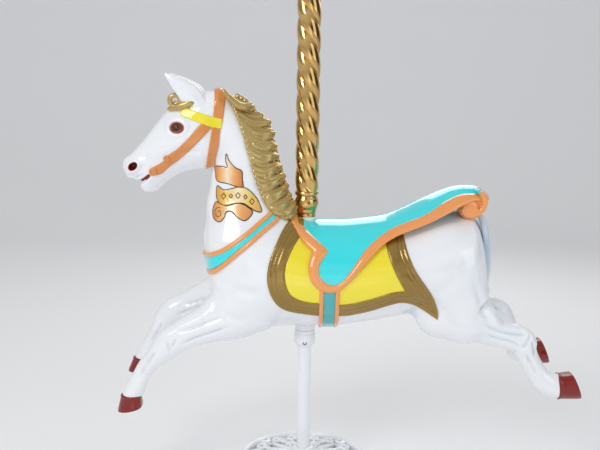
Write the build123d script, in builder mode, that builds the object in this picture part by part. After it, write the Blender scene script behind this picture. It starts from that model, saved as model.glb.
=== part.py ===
"""Carousel galloper on a telescoping pole and a cast scroll base.

Frame: millimetres, +Z up, origin on the pole axis at floor level.
The figure faces -X, its left side is -Y.
"""
import math
import os

from build123d import *

os.makedirs("parts", exist_ok=True)

# ================================================================ driving dimensions
FIT = 0.05                # radial clearance of turned fits
THROUGH = 60.0            # height of the cutters that pass right through the base
SIDES = (("left", -1), ("right", 1))     # name, sign of y

# base
BASE_R = 170.0            # outer radius of the casting
FOOT_T = 6.0              # rubber foot thickness, the casting starts on top of it
ANCHOR_PCD = 292.0        # floor anchor holes
ANCHORS = {"radius": ANCHOR_PCD / 2, "count": 4, "start_angle": 45}
ANCHOR_R = 5.25
LUG_R, LUG_H = 15.0, 21.0
SLEEVE_R, SLEEVE_H = 9.5, 20.0           # anchor lug sleeve, through the rubber to the floor
FOOT_R = 17.0
HUB_R, HUB_TOP = 25.5, 58.0
HUB_BORE_R = 17.0
POLE_SEAT = 22.0          # lower pole stands on this ledge in the hub
LEDGE_BOTTOM, LEDGE_BORE_R = 16.0, 8.5
HUB_SCREW_Z, HUB_SCREW_HOLE_R = 44.0, 4.0
# retaining bolt, up through the washer, the ledge and the plug in the lower pole
PLUG_BORE_R, PLUG_H = 8.0, 26.0
WASHER_T = 3.0
WASHER_BOTTOM = LEDGE_BOTTOM - WASHER_T
BOLT_HEAD_R, BOLT_HEAD_H, BOLT_SHANK = 13.9, 10.0, 31.0
# poles
LOWER_R, LOWER_ID_R = 16.85, 13.65       # 33.7 x 3.2 tube
LOWER_TOP = 620.0
UPPER_R, UPPER_ID_R = 21.2, 18.0         # 42.4 x 3.2 tube
UPPER_BOTTOM, UPPER_TOP = 360.0, 1292.0
GUIDE_H, GUIDE_CAP_T, GUIDE_CAP_BORE_R = 70.0, 4.0, 10.0
# height collar
COLLAR_BOTTOM, COLLAR_TOP = 333.0, 376.0
COLLAR_LEDGE = 358.0      # top of the liner and seat of the thrust washer
COLLAR_R = 28.0
LINER_R = 18.4
LOCK_Z, LOCK_R, LOCK_LENGTH = 346.5, 5.0, 8.6
LOCK_SOCKET, LOCK_SOCKET_DEPTH = 5.4, 5.5
PAD_START, PAD_R, PAD_T = LOWER_R + FIT, 4.6, 2.1
LOCK_START = PAD_START + PAD_T + FIT     # distance of the screw's inner end from the axis
# flange under the barrel
BELLY_SLEEVE_BOTTOM, BELLY_SLEEVE_R = COLLAR_TOP + 0.6, 25.2
FLANGE_BOTTOM, FLANGE_T, FLANGE_R = 416.0, 6.0, 52.0
FLANGE_HOLES = {"radius": 40, "count": 4, "start_angle": 45}
FLANGE_HOLE_R, FLANGE_BOLT_R = 4.2, 4.0
FLANGE_BOLT_BOTTOM, FLANGE_HEAD_R, FLANGE_HEAD_H = 408.0, 7.2, 5.0
# brass work
BRASS_BOTTOM, SLEEVE_BOTTOM, SLEEVE_TOP = 671.0, 736.0, 1290.0
BRASS_BORE_R = UPPER_R + 0.1
BRASS_SCREW_Z, BRASS_SCREW_R = 706.0, 3.0
BUSH_BOTTOM, BUSH_R = 636.0, 23.4
TWIST_R, TWIST_LOBE = 27.2, 2.4
TWIST_PITCH, TWIST_POINTS = 183.0, 36
TOP_PLUG_H, TOP_PLUG_BORE_R, FINIAL_STEM = 40.0, 6.0, 30.0
# figure
SKIN = 6.0                # laminate thickness
NECK_SKIN = 14.0
CLOTH_T, BORDER_T, TACK_T = 3.0, 5.0, 8.0
BRIDLE_T, NECK_SCROLL_T = 4.0, 3.0
BACK_PASSAGE_R = BUSH_R + FIT
BELLY_PASSAGE_R = BELLY_SLEEVE_R + FIT
BELLY_BLOCK_BOTTOM, BELLY_BLOCK_R = 385.0, 62.0
BACK_BLOCK_BOTTOM, BACK_BLOCK_H, BACK_BLOCK_R = 612.0, 60.0, 60.0
EYE_X, EYE_Y, EYE_Z, EYE_SOCKET_R = -318, 42, 889, 13.0
MOUTH_CUT, MOUTH_HALF = [(-480, 742), (-388, 772), (-480, 756), (-480, 742)], 80
TEETH, TEETH_HALF = [(-446, 754), (-412, 765), (-446, 761.6), (-446, 754)], 22
FORELOCK_CENTRE, FORELOCK_R = (-296, 0, 946), 31
MANE_HALF = 46
GIRTH_BOTTOM, GIRTH_TOP, GIRTH_SPAN = 350.0, 508.0, 400
# x limits of the bands
GIRTH_BANDS = {"girth": [(44.0, 71.0)], "girth_trim": [(32.0, 44.0), (71.0, 82.0)]}

# ================================================================ section stations
# x, top z, bottom z, half width
TORSO = [
    (-252, 640, 505, 48), (-215, 690, 425, 98), (-150, 699, 386, 118), (-60, 672, 388, 130),
    (60, 646, 391, 135), (180, 654, 402, 138), (310, 678, 404, 138), (395, 686, 440, 122),
    (440, 665, 505, 88), (466, 618, 565, 36),
]
# saddle envelope, same columns, with the seat and cantle rise on top
SEAT = [
    (-60, 684, 388, 137), (0, 667, 391, 141), (60, 666, 391, 143), (120, 670, 396, 145),
    (188, 678, 402, 146), (249, 701, 404, 146), (302, 728, 404, 144), (365, 752, 420, 138),
    (417, 754, 450, 118), (456, 728, 500, 96),
]
# x, z, half depth in the side plane, half width
NECK = [
    (-128, 590, 118, 100), (-146, 665, 106, 84), (-158, 728, 92, 66), (-166, 790, 80, 55),
    (-178, 850, 70, 48), (-198, 905, 60, 43), (-220, 945, 46, 38),
]
HEAD = [
    (-212, 925, 50, 40), (-250, 888, 84, 54), (-285, 868, 84, 55), (-322, 845, 75, 50),
    (-362, 818, 60, 42), (-400, 791, 50, 35), (-428, 774, 43, 34), (-446, 763, 33, 28),
    (-457, 757, 22, 19),
]
TAIL = [
    (426, 690, 16, 20), (450, 650, 24, 32), (460, 600, 22, 38), (458, 540, 22, 38),
    (454, 490, 20, 30), (452, 455, 9, 12),
]
# x, z, half depth, half width, |y|
FORE_LEFT = [
    (-120, 500, 96, 52, 62), (-175, 440, 74, 50, 66), (-228, 410, 51, 40, 70),
    (-276, 391, 43, 34, 72), (-314, 372, 39, 31, 72), (-346, 348, 36, 29, 72),
    (-370, 321, 28, 25, 72), (-393, 296, 24, 21, 72), (-410, 269, 23, 20, 72),
    (-422, 246, 26, 23, 72), (-432, 221, 27.5, 25, 72),
]
FORE_RIGHT = [
    (-150, 500, 80, 46, 58), (-200, 456, 64, 46, 66), (-250, 437, 47, 39, 70),
    (-300, 419, 41, 33, 72), (-336, 405, 37, 31, 72), (-362, 384, 34, 29, 72),
    (-382, 358, 28, 25, 72), (-398, 334, 24, 21, 72), (-411, 311, 23, 20, 72),
    (-419, 291, 25, 23, 72), (-427, 270, 27.5, 25, 72),
]
HIND_LEFT = [
    (350, 500, 60, 40, 64), (392, 445, 60, 44, 70), (436, 419, 48, 40, 72),
    (476, 398, 36, 31, 72), (515, 387, 33, 27, 73), (548, 374, 33, 26, 74),
    (568, 343, 28, 23, 75), (586, 304, 26, 22, 75), (604, 276, 28, 24, 75),
    (636, 259, 33, 28, 75),
]
HIND_RIGHT = [
    (350, 500, 60, 40, 64), (392, 450, 58, 44, 70), (430, 432, 46, 40, 72),
    (462, 424, 35, 31, 72), (490, 418, 33, 27, 73), (514, 402, 33, 26, 74),
    (529, 372, 28, 23, 75), (546, 343, 26, 22, 75), (564, 317, 28, 24, 75),
    (595, 302, 33, 28, 75),
]
# stations, sign of y, then sole centre (x, z), sole normal (x, z), sole half length and width
LEGS = {
    "fore_left": (FORE_LEFT, -1, (-438, 186), (0.22, -0.975), (34, 30)),
    "fore_right": (FORE_RIGHT, 1, (-436, 234), (0.1, -0.99), (33, 30)),
    "hind_left": (HIND_LEFT, -1, (682, 262), (0.93, 0.36), (38, 32)),
    "hind_right": (HIND_RIGHT, 1, (641, 306), (0.93, 0.36), (38, 32)),
}
# x, |y|, z, section normal (x, z), half width, half depth
EAR = [
    (-284, 26, 916, (-0.60, 0.79), 17, 33),
    (-318, 35, 972, (-0.62, 0.78), 14, 25),
    (-347, 41, 1014, (-0.66, 0.75), 4, 6),
]

# ================================================================ side-plane outlines (x, z)
# Saddle, trim, cloth and border: chained splines down the front, along the bottom and up
# or along the rear; over_back() closes each of them above the back.
SADDLE_OUTLINE = [
    [(-19, 662), (0, 644), (27, 623), (51, 604)],
    [(51, 604), (32, 580), (26, 560), (30, 543), (42, 531), (59, 524), (78, 527), (94, 538),
     (114, 565), (136, 597), (160, 622), (203, 645), (247, 662)],
    [(247, 662), (290, 677), (341, 709), (379, 729), (418, 737), (452, 740)],
]
TRIM_OUTLINE = [
    [(-42, 668), (-29, 653), (-14, 635), (0, 620), (18, 605)],
    [(18, 605), (11, 588), (8, 566), (11, 545), (20, 527), (37, 513), (60, 509), (82, 517),
     (106, 540), (130, 569), (155, 597), (181, 617), (206, 631), (247, 649)],
    [(247, 649), (284, 662), (340, 684), (368, 699), (393, 710), (416, 717), (450, 722)],
]
CLOTH_OUTLINE = [
    [(-17, 634), (-29, 614), (-40, 592), (-48, 569), (-51, 545), (-47, 521), (-38, 501),
     (-22, 488), (2, 481), (32, 477), (84, 475), (121, 481), (169, 495), (205, 510), (238, 514)],
    [(238, 514), (219, 546), (204, 579), (195, 608), (192, 634)],
]
BORDER_OUTLINE = [
    [(-44, 672), (-55, 654), (-67, 634), (-81, 600), (-91, 568), (-94, 540), (-91, 514),
     (-82, 489), (-66, 466), (-44, 453), (-8, 446), (32, 441), (83, 441), (110, 443),
     (159, 456), (196, 470), (226, 479), (252, 475), (284, 460), (318, 438)],
    [(318, 438), (323, 455), (311, 490), (291, 522), (265, 559), (249, 594), (241, 622),
     (237, 645)],
]
# breast strap edges from top to bottom: trim, centre band, trim
STRAP_TOP = [(-60, 716), (-92, 687), (-116, 670), (-140, 648), (-170, 626), (-201, 605),
             (-224, 594), (-262, 585)]
STRAP_CENTRE_TOP = [(-50, 706), (-83, 680), (-111, 662), (-139, 640), (-170, 616), (-200, 597),
                    (-224, 585), (-262, 575)]
STRAP_CENTRE_BOTTOM = [(-42, 700), (-75, 675), (-107, 651), (-138, 626), (-169, 600),
                       (-206, 568), (-226, 553), (-262, 540)]
STRAP_BOTTOM = [(-34, 694), (-68, 672), (-93, 652), (-138, 612), (-181, 573), (-216, 543),
                (-241, 527), (-262, 519)]
MANE_OUTLINE = [
    [(-202, 990), (-199, 972), (-180, 936), (-158, 888), (-143, 839), (-128, 778), (-108, 723),
     (-88, 694)],
    [(-88, 694), (-64, 681)],
    [(-64, 681), (-40, 690)],
    [(-40, 690), (-40, 728), (-55, 775), (-66, 812), (-75, 850), (-88, 897), (-113, 925),
     (-140, 962), (-172, 988)],
    [(-172, 988), (-202, 990)],
]
CHEEK_STRAP = [
    [(-238, 914), (-260, 902), (-289, 868), (-317, 841), (-341, 824), (-358, 808), (-387, 790)],
    [(-387, 790), (-384, 770)],
    [(-384, 770), (-339, 795), (-317, 811), (-289, 835), (-260, 864), (-238, 888)],
    [(-238, 888), (-238, 914)],
]
CROWN_STRAP = [
    [(-236, 996), (-229, 950), (-230, 927), (-234, 888), (-242, 840), (-252, 786)],
    [(-252, 786), (-228, 800)],
    [(-228, 800), (-217, 849), (-213, 886), (-206, 916), (-204, 948), (-205, 996)],
    [(-205, 996), (-236, 996)],
]
BROWBAND = [
    [(-292, 934), (-266, 930), (-237, 921)],
    [(-237, 921), (-237, 896)],
    [(-237, 896), (-266, 906), (-300, 922)],
    [(-300, 922), (-292, 934)],
]
NECK_SCROLL = [(-199, 829), (-160, 789), (-157, 749), (-110, 696), (-151, 670), (-213, 664),
               (-232, 685), (-221, 748), (-227, 795)]


# ================================================================ helpers
def save(part, name):
    part.label = name
    export_step(part, f"parts/{name}.step")


def tube(bottom, top, outer_r, inner_r):
    """Plain ring or tube on the pole axis."""
    with BuildPart() as made:
        with BuildSketch(Plane.XY.offset(bottom)):
            Circle(outer_r)
            Circle(inner_r, mode=Mode.SUBTRACT)
        extrude(amount=top - bottom)
    return made.part


def grub_screw(plane, height, radius, length, socket_r, socket_depth):
    """Screw outwards from the plane at the given height, hexagon socket in its outer end."""
    with BuildPart() as made:
        with BuildSketch(plane):
            with Locations((0, height)):
                Circle(radius)
        extrude(amount=length)
        with BuildSketch(plane.offset(length)):
            with Locations((0, height)):
                RegularPolygon(socket_r, 6)
        extrude(amount=-socket_depth, mode=Mode.SUBTRACT)
    return made.part


def barrel(stations, grow=0):
    """Loft of upright elliptical sections along X, pushed out by grow all round."""
    last = len(stations) - 1
    with BuildPart() as made:
        for i, (x, top, bottom, half_width) in enumerate(stations):
            shift = -grow if i == 0 else (grow if i == last else 0)
            centre = (x + shift, 0, (top + bottom) / 2)
            with BuildSketch(Plane(origin=centre, x_dir=(0, 1, 0), z_dir=(1, 0, 0))):
                Ellipse(half_width + grow, (top - bottom) / 2 + grow)
        loft()
    return made.part


def limb(stations, side=0, grow=0.0, extend=0.0, ruled=False):
    """Loft of elliptical sections square to the line through the stations.

    The last section is moved on along the line by extend.
    """
    last = len(stations) - 1
    with BuildPart() as made:
        for i, (x, z, half_depth, half_width, *away) in enumerate(stations):
            before, after = stations[max(i - 1, 0)], stations[min(i + 1, last)]
            along_x, along_z = after[0] - before[0], after[1] - before[1]
            length = math.hypot(along_x, along_z)
            along_x, along_z = along_x / length, along_z / length
            slide = extend if i == last else 0.0
            y = side * away[0] if away else 0.0
            centre = (x + along_x * slide, y, z + along_z * slide)
            with BuildSketch(Plane(origin=centre, x_dir=(0, 1, 0), z_dir=(along_x, 0, along_z))):
                Ellipse(half_width + grow, half_depth + grow)
        loft(ruled=ruled)
    return made.part


def side_prism(curves, left=200.0, right=200.0):
    """Closed side-plane outline, taken left and right of the centre plane.

    Two points make a line, more make a spline.
    """
    with BuildPart() as made:
        with BuildSketch(Plane.XZ.offset(-right)):
            with BuildLine():
                for points in curves:
                    if len(points) == 2:
                        Line(*points)
                    else:
                        Spline(*points)
            make_face()
        extrude(amount=left + right)
    return made.part


def over_back(outline, rear, front):
    """Side prism of an open outline, closed through two corners above the back."""
    closing = [[outline[-1][-1], rear], [rear, front], [front, outline[0][0]]]
    return side_prism(outline + closing)


def strip_between(upper, lower):
    """Side prism between two edges that run the same way."""
    return side_prism([upper, [upper[-1], lower[-1]], lower, [lower[0], upper[0]]])


def side_rings(x, y, z, outer_r, inner_r, half_t):
    """Pair of rings parallel to the side plane, at +y and -y."""
    with BuildPart() as made:
        for _, side in SIDES:
            with BuildSketch(Plane.XZ.offset(-side * y)):
                with Locations((x, z)):
                    Circle(outer_r)
                    Circle(inner_r, mode=Mode.SUBTRACT)
            extrude(amount=half_t, both=True)
    return made.part


def carve(body, *cuts, within=None):
    """Body, limited to within if given, less each of the cuts in turn."""
    with BuildPart() as made:
        add(body)
        if within is not None:
            add(within, mode=Mode.INTERSECT)
        for cut in cuts:
            add(cut, mode=Mode.SUBTRACT)
    return made.part


# ================================================================ stand
with BuildPart() as base_casting:
    with BuildSketch(Plane.XZ):
        with BuildLine():
            Polyline(
                (LEDGE_BORE_R, LEDGE_BOTTOM), (34, LEDGE_BOTTOM), (34, 27), (60, 26), (157, 16),
                (157, FOOT_T), (BASE_R, FOOT_T), (BASE_R, 19),
            )
            ThreePointArc((BASE_R, 19), (167, 25), (161, 27))
            Line((161, 27), (154, 25))
            Spline((154, 25), (110, 31), (66, 35), (40, 39), (29, 48), (HUB_R, HUB_TOP))
            Polyline(
                (HUB_R, HUB_TOP), (HUB_BORE_R, HUB_TOP), (HUB_BORE_R, POLE_SEAT),
                (LEDGE_BORE_R, POLE_SEAT), (LEDGE_BORE_R, LEDGE_BOTTOM),
            )
        make_face()
    revolve(axis=Axis.Z)
    # openings of the scroll work
    with BuildSketch(Plane.XY):
        with PolarLocations(97, 8):
            Ellipse(27, 19)
        with PolarLocations(134, 8, start_angle=22.5):
            RectangleRounded(10, 24, 4.9)
        with PolarLocations(70, 8, start_angle=22.5):
            Circle(7)
    extrude(amount=THROUGH, mode=Mode.SUBTRACT)
    # anchor lugs, their sleeves and holes
    with BuildSketch(Plane.XY.offset(FOOT_T)):
        with PolarLocations(**ANCHORS):
            Circle(LUG_R)
    extrude(amount=LUG_H)
    with BuildSketch(Plane.XY):
        with PolarLocations(**ANCHORS):
            Circle(SLEEVE_R)
    extrude(amount=SLEEVE_H)
    with BuildSketch(Plane.XY):
        with PolarLocations(**ANCHORS):
            Circle(ANCHOR_R)
    extrude(amount=THROUGH, mode=Mode.SUBTRACT)
    # hub grub screw hole, towards -Y
    with BuildSketch(Plane.XZ.offset(15)):
        with Locations((0, HUB_SCREW_Z)):
            Circle(HUB_SCREW_HOLE_R)
    extrude(amount=40, mode=Mode.SUBTRACT)
save(base_casting.part, "base_casting")

with BuildPart() as base_feet:
    with BuildSketch(Plane.XY):
        with PolarLocations(**ANCHORS):
            Circle(FOOT_R)
        with PolarLocations(**ANCHORS):
            Circle(SLEEVE_R + 0.2, mode=Mode.SUBTRACT)
    extrude(amount=FOOT_T)
save(base_feet.part, "base_feet")

save(tube(POLE_SEAT, LOWER_TOP, LOWER_R, LOWER_ID_R), "lower_pole")
save(tube(POLE_SEAT, POLE_SEAT + PLUG_H, LOWER_ID_R, PLUG_BORE_R), "pole_foot_plug")
save(tube(WASHER_BOTTOM, LEDGE_BOTTOM, HUB_BORE_R, LEDGE_BORE_R), "retaining_washer")

with BuildPart() as retaining_bolt:
    with BuildSketch(Plane.XY.offset(WASHER_BOTTOM - BOLT_HEAD_H)):
        RegularPolygon(BOLT_HEAD_R, 6)
    extrude(amount=BOLT_HEAD_H)
    with BuildSketch(Plane.XY.offset(WASHER_BOTTOM)):
        Circle(PLUG_BORE_R - FIT)
    extrude(amount=BOLT_SHANK)
save(retaining_bolt.part, "retaining_bolt")

hub_grub_screw = grub_screw(
    Plane.XZ.offset(HUB_BORE_R), HUB_SCREW_Z, HUB_SCREW_HOLE_R - FIT,
    length=10.0, socket_r=2.2, socket_depth=4,
)
save(hub_grub_screw, "hub_grub_screw")

# bush round the top of the lower pole, with a cap resting on the pole end
with BuildPart() as pole_guide_bush:
    with BuildSketch(Plane.XY.offset(LOWER_TOP - GUIDE_H)):
        Circle(UPPER_ID_R - FIT)
        Circle(LOWER_R, mode=Mode.SUBTRACT)
    extrude(amount=GUIDE_H)
    with BuildSketch(Plane.XY.offset(LOWER_TOP)):
        Circle(UPPER_ID_R - FIT)
        Circle(GUIDE_CAP_BORE_R, mode=Mode.SUBTRACT)
    extrude(amount=GUIDE_CAP_T)
save(pole_guide_bush.part, "pole_guide_bush")

# ================================================================ height collar
with BuildPart() as height_collar:
    with BuildSketch(Plane.XZ):
        with BuildLine():
            Polyline((LINER_R, COLLAR_BOTTOM), (20.5, COLLAR_BOTTOM), (20.5, 336.5))
            Spline(
                (20.5, 336.5), (24.5, 338.5), (27.3, 343), (COLLAR_R, 349), (27.6, 360),
                (26.6, 366),
            )
            Polyline(
                (26.6, 366), (25.4, 366), (25.4, COLLAR_TOP), (UPPER_R + FIT, COLLAR_TOP),
                (UPPER_R + FIT, COLLAR_LEDGE), (LINER_R, COLLAR_LEDGE), (LINER_R, COLLAR_BOTTOM),
            )
        make_face()
    revolve(axis=Axis.Z)
    with BuildSketch(Plane.XZ.offset(15)):
        with Locations((0, LOCK_Z)):
            Circle(LOCK_R + FIT)
    extrude(amount=40, mode=Mode.SUBTRACT)
save(height_collar.part, "height_collar")

with BuildPart() as collar_liner:
    with BuildSketch(Plane.XY.offset(COLLAR_BOTTOM)):
        Circle(LINER_R)
        Circle(LOWER_R + FIT, mode=Mode.SUBTRACT)
    extrude(amount=COLLAR_LEDGE - COLLAR_BOTTOM)
    with BuildSketch(Plane.XZ.offset(10)):
        with Locations((0, LOCK_Z)):
            Circle(LOCK_R + FIT)
    extrude(amount=40, mode=Mode.SUBTRACT)
save(collar_liner.part, "collar_liner")

save(tube(COLLAR_LEDGE, UPPER_BOTTOM, 21.1, 17.3), "thrust_washer")

with BuildPart() as lock_pad:
    with BuildSketch(Plane.XZ.offset(PAD_START)):
        with Locations((0, LOCK_Z)):
            Circle(PAD_R)
    extrude(amount=PAD_T)
save(lock_pad.part, "lock_pad")

with BuildPart() as lock_screw:
    with BuildSketch(Plane.XZ.offset(LOCK_START)):
        with Locations((0, LOCK_Z)):
            Circle(LOCK_R)
    extrude(amount=LOCK_LENGTH)
    with BuildSketch(Plane.XZ.offset(LOCK_START + LOCK_LENGTH)):
        with Locations((0, LOCK_Z)):
            Rectangle(LOCK_SOCKET, LOCK_SOCKET)
    extrude(amount=-LOCK_SOCKET_DEPTH, mode=Mode.SUBTRACT)
save(lock_screw.part, "lock_screw")

# ================================================================ upper pole and brass work
save(tube(UPPER_BOTTOM, UPPER_TOP, UPPER_R, UPPER_ID_R), "upper_pole")
save(tube(BELLY_SLEEVE_BOTTOM, FLANGE_BOTTOM, BELLY_SLEEVE_R, UPPER_R), "belly_sleeve")

with BuildPart() as carrying_flange:
    with BuildSketch(Plane.XY.offset(FLANGE_BOTTOM)):
        Circle(FLANGE_R)
        Circle(UPPER_R, mode=Mode.SUBTRACT)
        with PolarLocations(**FLANGE_HOLES):
            Circle(FLANGE_HOLE_R, mode=Mode.SUBTRACT)
    extrude(amount=FLANGE_T)
save(carrying_flange.part, "carrying_flange")

# hexagon heads all keep the same heading, so they are not placed by a rotating pattern
flange_top = FLANGE_BOTTOM + FLANGE_T
with BuildPart() as flange_bolts:
    for hole in PolarLocations(**FLANGE_HOLES).local_locations:
        centre = (hole.position.X, hole.position.Y)
        with BuildSketch(Plane.XY.offset(FLANGE_BOLT_BOTTOM)):
            with Locations(centre):
                Circle(FLANGE_BOLT_R)
        extrude(amount=flange_top - FLANGE_BOLT_BOTTOM)
        with BuildSketch(Plane.XY.offset(flange_top)):
            with Locations(centre):
                RegularPolygon(FLANGE_HEAD_R, 6)
        extrude(amount=FLANGE_HEAD_H)
save(flange_bolts.part, "flange_bolts")

save(tube(BUSH_BOTTOM, BRASS_BOTTOM, BUSH_R, UPPER_R), "saddle_bush")

with BuildPart() as brass_collar:
    with BuildSketch(Plane.XZ):
        with BuildLine():
            Polyline((BRASS_BORE_R, BRASS_BOTTOM), (22.6, BRASS_BOTTOM), (22.6, 680))
            Spline((22.6, 680), (24.2, 686), (28.2, 695), (29.8, 706), (28.9, 717), (27.4, 722))
            Polyline((27.4, 722), (27.4, 724))
            Spline((27.4, 724), (29.4, 726.5), (30.2, 730), (29.4, 733.5), (27.6, SLEEVE_BOTTOM))
            Polyline(
                (27.6, SLEEVE_BOTTOM), (BRASS_BORE_R, SLEEVE_BOTTOM), (BRASS_BORE_R, BRASS_BOTTOM),
            )
        make_face()
    revolve(axis=Axis.Z)
    # grub screw hole, towards +X
    with BuildSketch(Plane.YZ.offset(UPPER_R)):
        with Locations((0, BRASS_SCREW_Z)):
            Circle(BRASS_SCREW_R + FIT)
    extrude(amount=20, mode=Mode.SUBTRACT)
save(brass_collar.part, "brass_collar")

collar_grub_screw = grub_screw(
    Plane.YZ.offset(UPPER_R), BRASS_SCREW_Z, BRASS_SCREW_R,
    length=7, socket_r=1.7, socket_depth=3,
)
save(collar_grub_screw, "collar_grub_screw")


def twist_point(angle):
    """Point of the three-lobed section of the twisted sleeve."""
    radius = TWIST_R + TWIST_LOBE * math.cos(3 * angle)
    return radius * math.cos(angle), radius * math.sin(angle)


sleeve_length = SLEEVE_TOP - SLEEVE_BOTTOM
with BuildSketch(Plane.XY.offset(SLEEVE_BOTTOM)) as twist_section:
    with BuildLine():
        Spline(
            *[twist_point(math.tau * k / TWIST_POINTS) for k in range(TWIST_POINTS)],
            periodic=True,
        )
    make_face()
with BuildPart() as brass_sleeve:
    add(Solid.extrude_linear_with_rotation(
        section=twist_section.sketch.faces()[0],
        center=(0, 0, SLEEVE_BOTTOM),
        normal=(0, 0, sleeve_length),
        angle=-360.0 * sleeve_length / TWIST_PITCH,
    ))
    with BuildSketch(Plane.XY.offset(SLEEVE_BOTTOM)):
        Circle(BRASS_BORE_R)
    extrude(amount=sleeve_length, mode=Mode.SUBTRACT)
save(brass_sleeve.part, "brass_sleeve")

save(tube(UPPER_TOP - TOP_PLUG_H, UPPER_TOP, UPPER_ID_R, TOP_PLUG_BORE_R), "top_plug")

stem_r, stem_bottom = TOP_PLUG_BORE_R - FIT, UPPER_TOP - FINIAL_STEM
with BuildPart() as pole_finial:
    with BuildSketch(Plane.XZ):
        with BuildLine():
            Polyline(
                (0, stem_bottom), (stem_r, stem_bottom), (stem_r, UPPER_TOP), (31, UPPER_TOP),
                (31, UPPER_TOP + 3),
            )
            Spline(
                (31, UPPER_TOP + 3), (29.5, UPPER_TOP + 7), (20, UPPER_TOP + 10),
                (14, UPPER_TOP + 16), (14.5, UPPER_TOP + 21),
            )
            Spline(
                (14.5, UPPER_TOP + 21), (25, UPPER_TOP + 31), (29, UPPER_TOP + 45),
                (24, UPPER_TOP + 60), (10, UPPER_TOP + 70), (0, UPPER_TOP + 72),
            )
            Line((0, UPPER_TOP + 72), (0, stem_bottom))
        make_face()
    revolve(axis=Axis.Z)
save(pole_finial.part, "pole_finial")

# ================================================================ the figure
torso = barrel(TORSO)
torso_hollow = barrel(TORSO, -SKIN)
torso_cloth = barrel(TORSO, CLOTH_T)
torso_border = barrel(TORSO, BORDER_T)
torso_tack = barrel(TORSO, TACK_T)
neck_body = limb(NECK)
head_body = limb(HEAD)
legs = {
    name: limb(stations, side=side, ruled=True)
    for name, (stations, side, *_) in LEGS.items()
}

# the pole passes through back and belly
with BuildPart() as pole_passage:
    with BuildSketch(Plane.XY.offset(560)):
        Circle(BACK_PASSAGE_R)
    extrude(amount=300)
    with BuildSketch(Plane.XY.offset(350)):
        Circle(BELLY_PASSAGE_R)
    extrude(amount=100)
passage = pole_passage.part

# barrel, moulded in two halves that meet on the centre plane; the plane's normal is -Y
for name, keep in (("body_left", Keep.TOP), ("body_right", Keep.BOTTOM)):
    with BuildPart() as body_half:
        add(torso)
        add(torso_hollow, mode=Mode.SUBTRACT)
        add(passage, mode=Mode.SUBTRACT)
        split(bisect_by=Plane.XZ, keep=keep)
    save(body_half.part, name)

with BuildPart() as belly_block:
    with BuildSketch(Plane.XY.offset(BELLY_BLOCK_BOTTOM)):
        Circle(BELLY_BLOCK_R)
    extrude(amount=FLANGE_BOTTOM - BELLY_BLOCK_BOTTOM)
    add(torso_hollow, mode=Mode.INTERSECT)
    with BuildSketch(Plane.XY.offset(380)):
        Circle(BELLY_PASSAGE_R)
        with PolarLocations(**FLANGE_HOLES):
            Circle(FLANGE_BOLT_R + FIT)
    extrude(amount=50, mode=Mode.SUBTRACT)
save(belly_block.part, "belly_block")

with BuildPart() as back_block:
    with BuildSketch(Plane.XY.offset(BACK_BLOCK_BOTTOM)):
        Circle(BACK_BLOCK_R)
    extrude(amount=BACK_BLOCK_H)
    add(torso_hollow, mode=Mode.INTERSECT)
    with BuildSketch(Plane.XY.offset(600)):
        Circle(BACK_PASSAGE_R)
    extrude(amount=80, mode=Mode.SUBTRACT)
save(back_block.part, "back_block")

save(carve(neck_body, torso, limb(NECK[2:-1], grow=-NECK_SKIN)), "neck")

with BuildPart() as head:
    add(head_body)
    add(neck_body, mode=Mode.SUBTRACT)
    for _, side in SIDES:
        with Locations((EYE_X, side * EYE_Y, EYE_Z)):
            Sphere(EYE_SOCKET_R, mode=Mode.SUBTRACT)
    with BuildSketch(Plane.XZ.offset(-MOUTH_HALF)):
        with BuildLine():
            Polyline(*MOUTH_CUT)
        make_face()
    extrude(amount=2 * MOUTH_HALF, mode=Mode.SUBTRACT)
save(head.part, "head")

with BuildPart() as teeth:
    with BuildSketch(Plane.XZ.offset(-TEETH_HALF)):
        with BuildLine():
            Polyline(*TEETH)
        make_face()
    extrude(amount=2 * TEETH_HALF)
save(teeth.part, "teeth")

ears = []
for side_name, side in SIDES:
    with BuildPart() as eye:
        with Locations((EYE_X, side * EYE_Y, EYE_Z)):
            Sphere(EYE_SOCKET_R - FIT)
    save(eye.part, f"eye_{side_name}")

    with BuildPart() as ear:
        for x, y, z, (normal_x, normal_z), half_width, half_depth in EAR:
            with BuildSketch(Plane(
                origin=(x, side * y, z), x_dir=(0, 1, 0), z_dir=(normal_x, 0, normal_z),
            )):
                Ellipse(half_width, half_depth)
        loft()
        add(head_body, mode=Mode.SUBTRACT)
    ears.append(ear.part)
    save(ear.part, f"ear_{side_name}")

for name, solid in legs.items():
    save(carve(solid, torso), f"leg_{name}")

# each hoof runs from the last leg section to the sole
for name, (stations, side, sole, sole_normal, sole_half) in LEGS.items():
    before_x, before_z = stations[-2][:2]
    x, z, half_depth, half_width, away = stations[-1]
    y = side * away
    with BuildPart() as hoof:
        with BuildSketch(Plane(
            origin=(x, y, z), x_dir=(0, 1, 0), z_dir=(x - before_x, 0, z - before_z),
        )):
            Ellipse(half_width, half_depth)
        with BuildSketch(Plane(
            origin=(sole[0], y, sole[1]), x_dir=(0, 1, 0),
            z_dir=(sole_normal[0], 0, sole_normal[1]),
        )):
            Ellipse(sole_half[1], sole_half[0])
        loft()
    save(hoof.part, f"hoof_{name}")

# ================================================================ mane, forelock, tail
mane_prism = side_prism(MANE_OUTLINE, left=MANE_HALF, right=MANE_HALF)
save(carve(mane_prism, neck_body, torso, head_body), "mane")

with BuildPart() as forelock:
    with Locations(FORELOCK_CENTRE):
        Sphere(FORELOCK_R)
    for solid in (head_body, *ears):
        add(solid, mode=Mode.SUBTRACT)
save(forelock.part, "forelock")

save(carve(limb(TAIL), torso), "tail")

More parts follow.
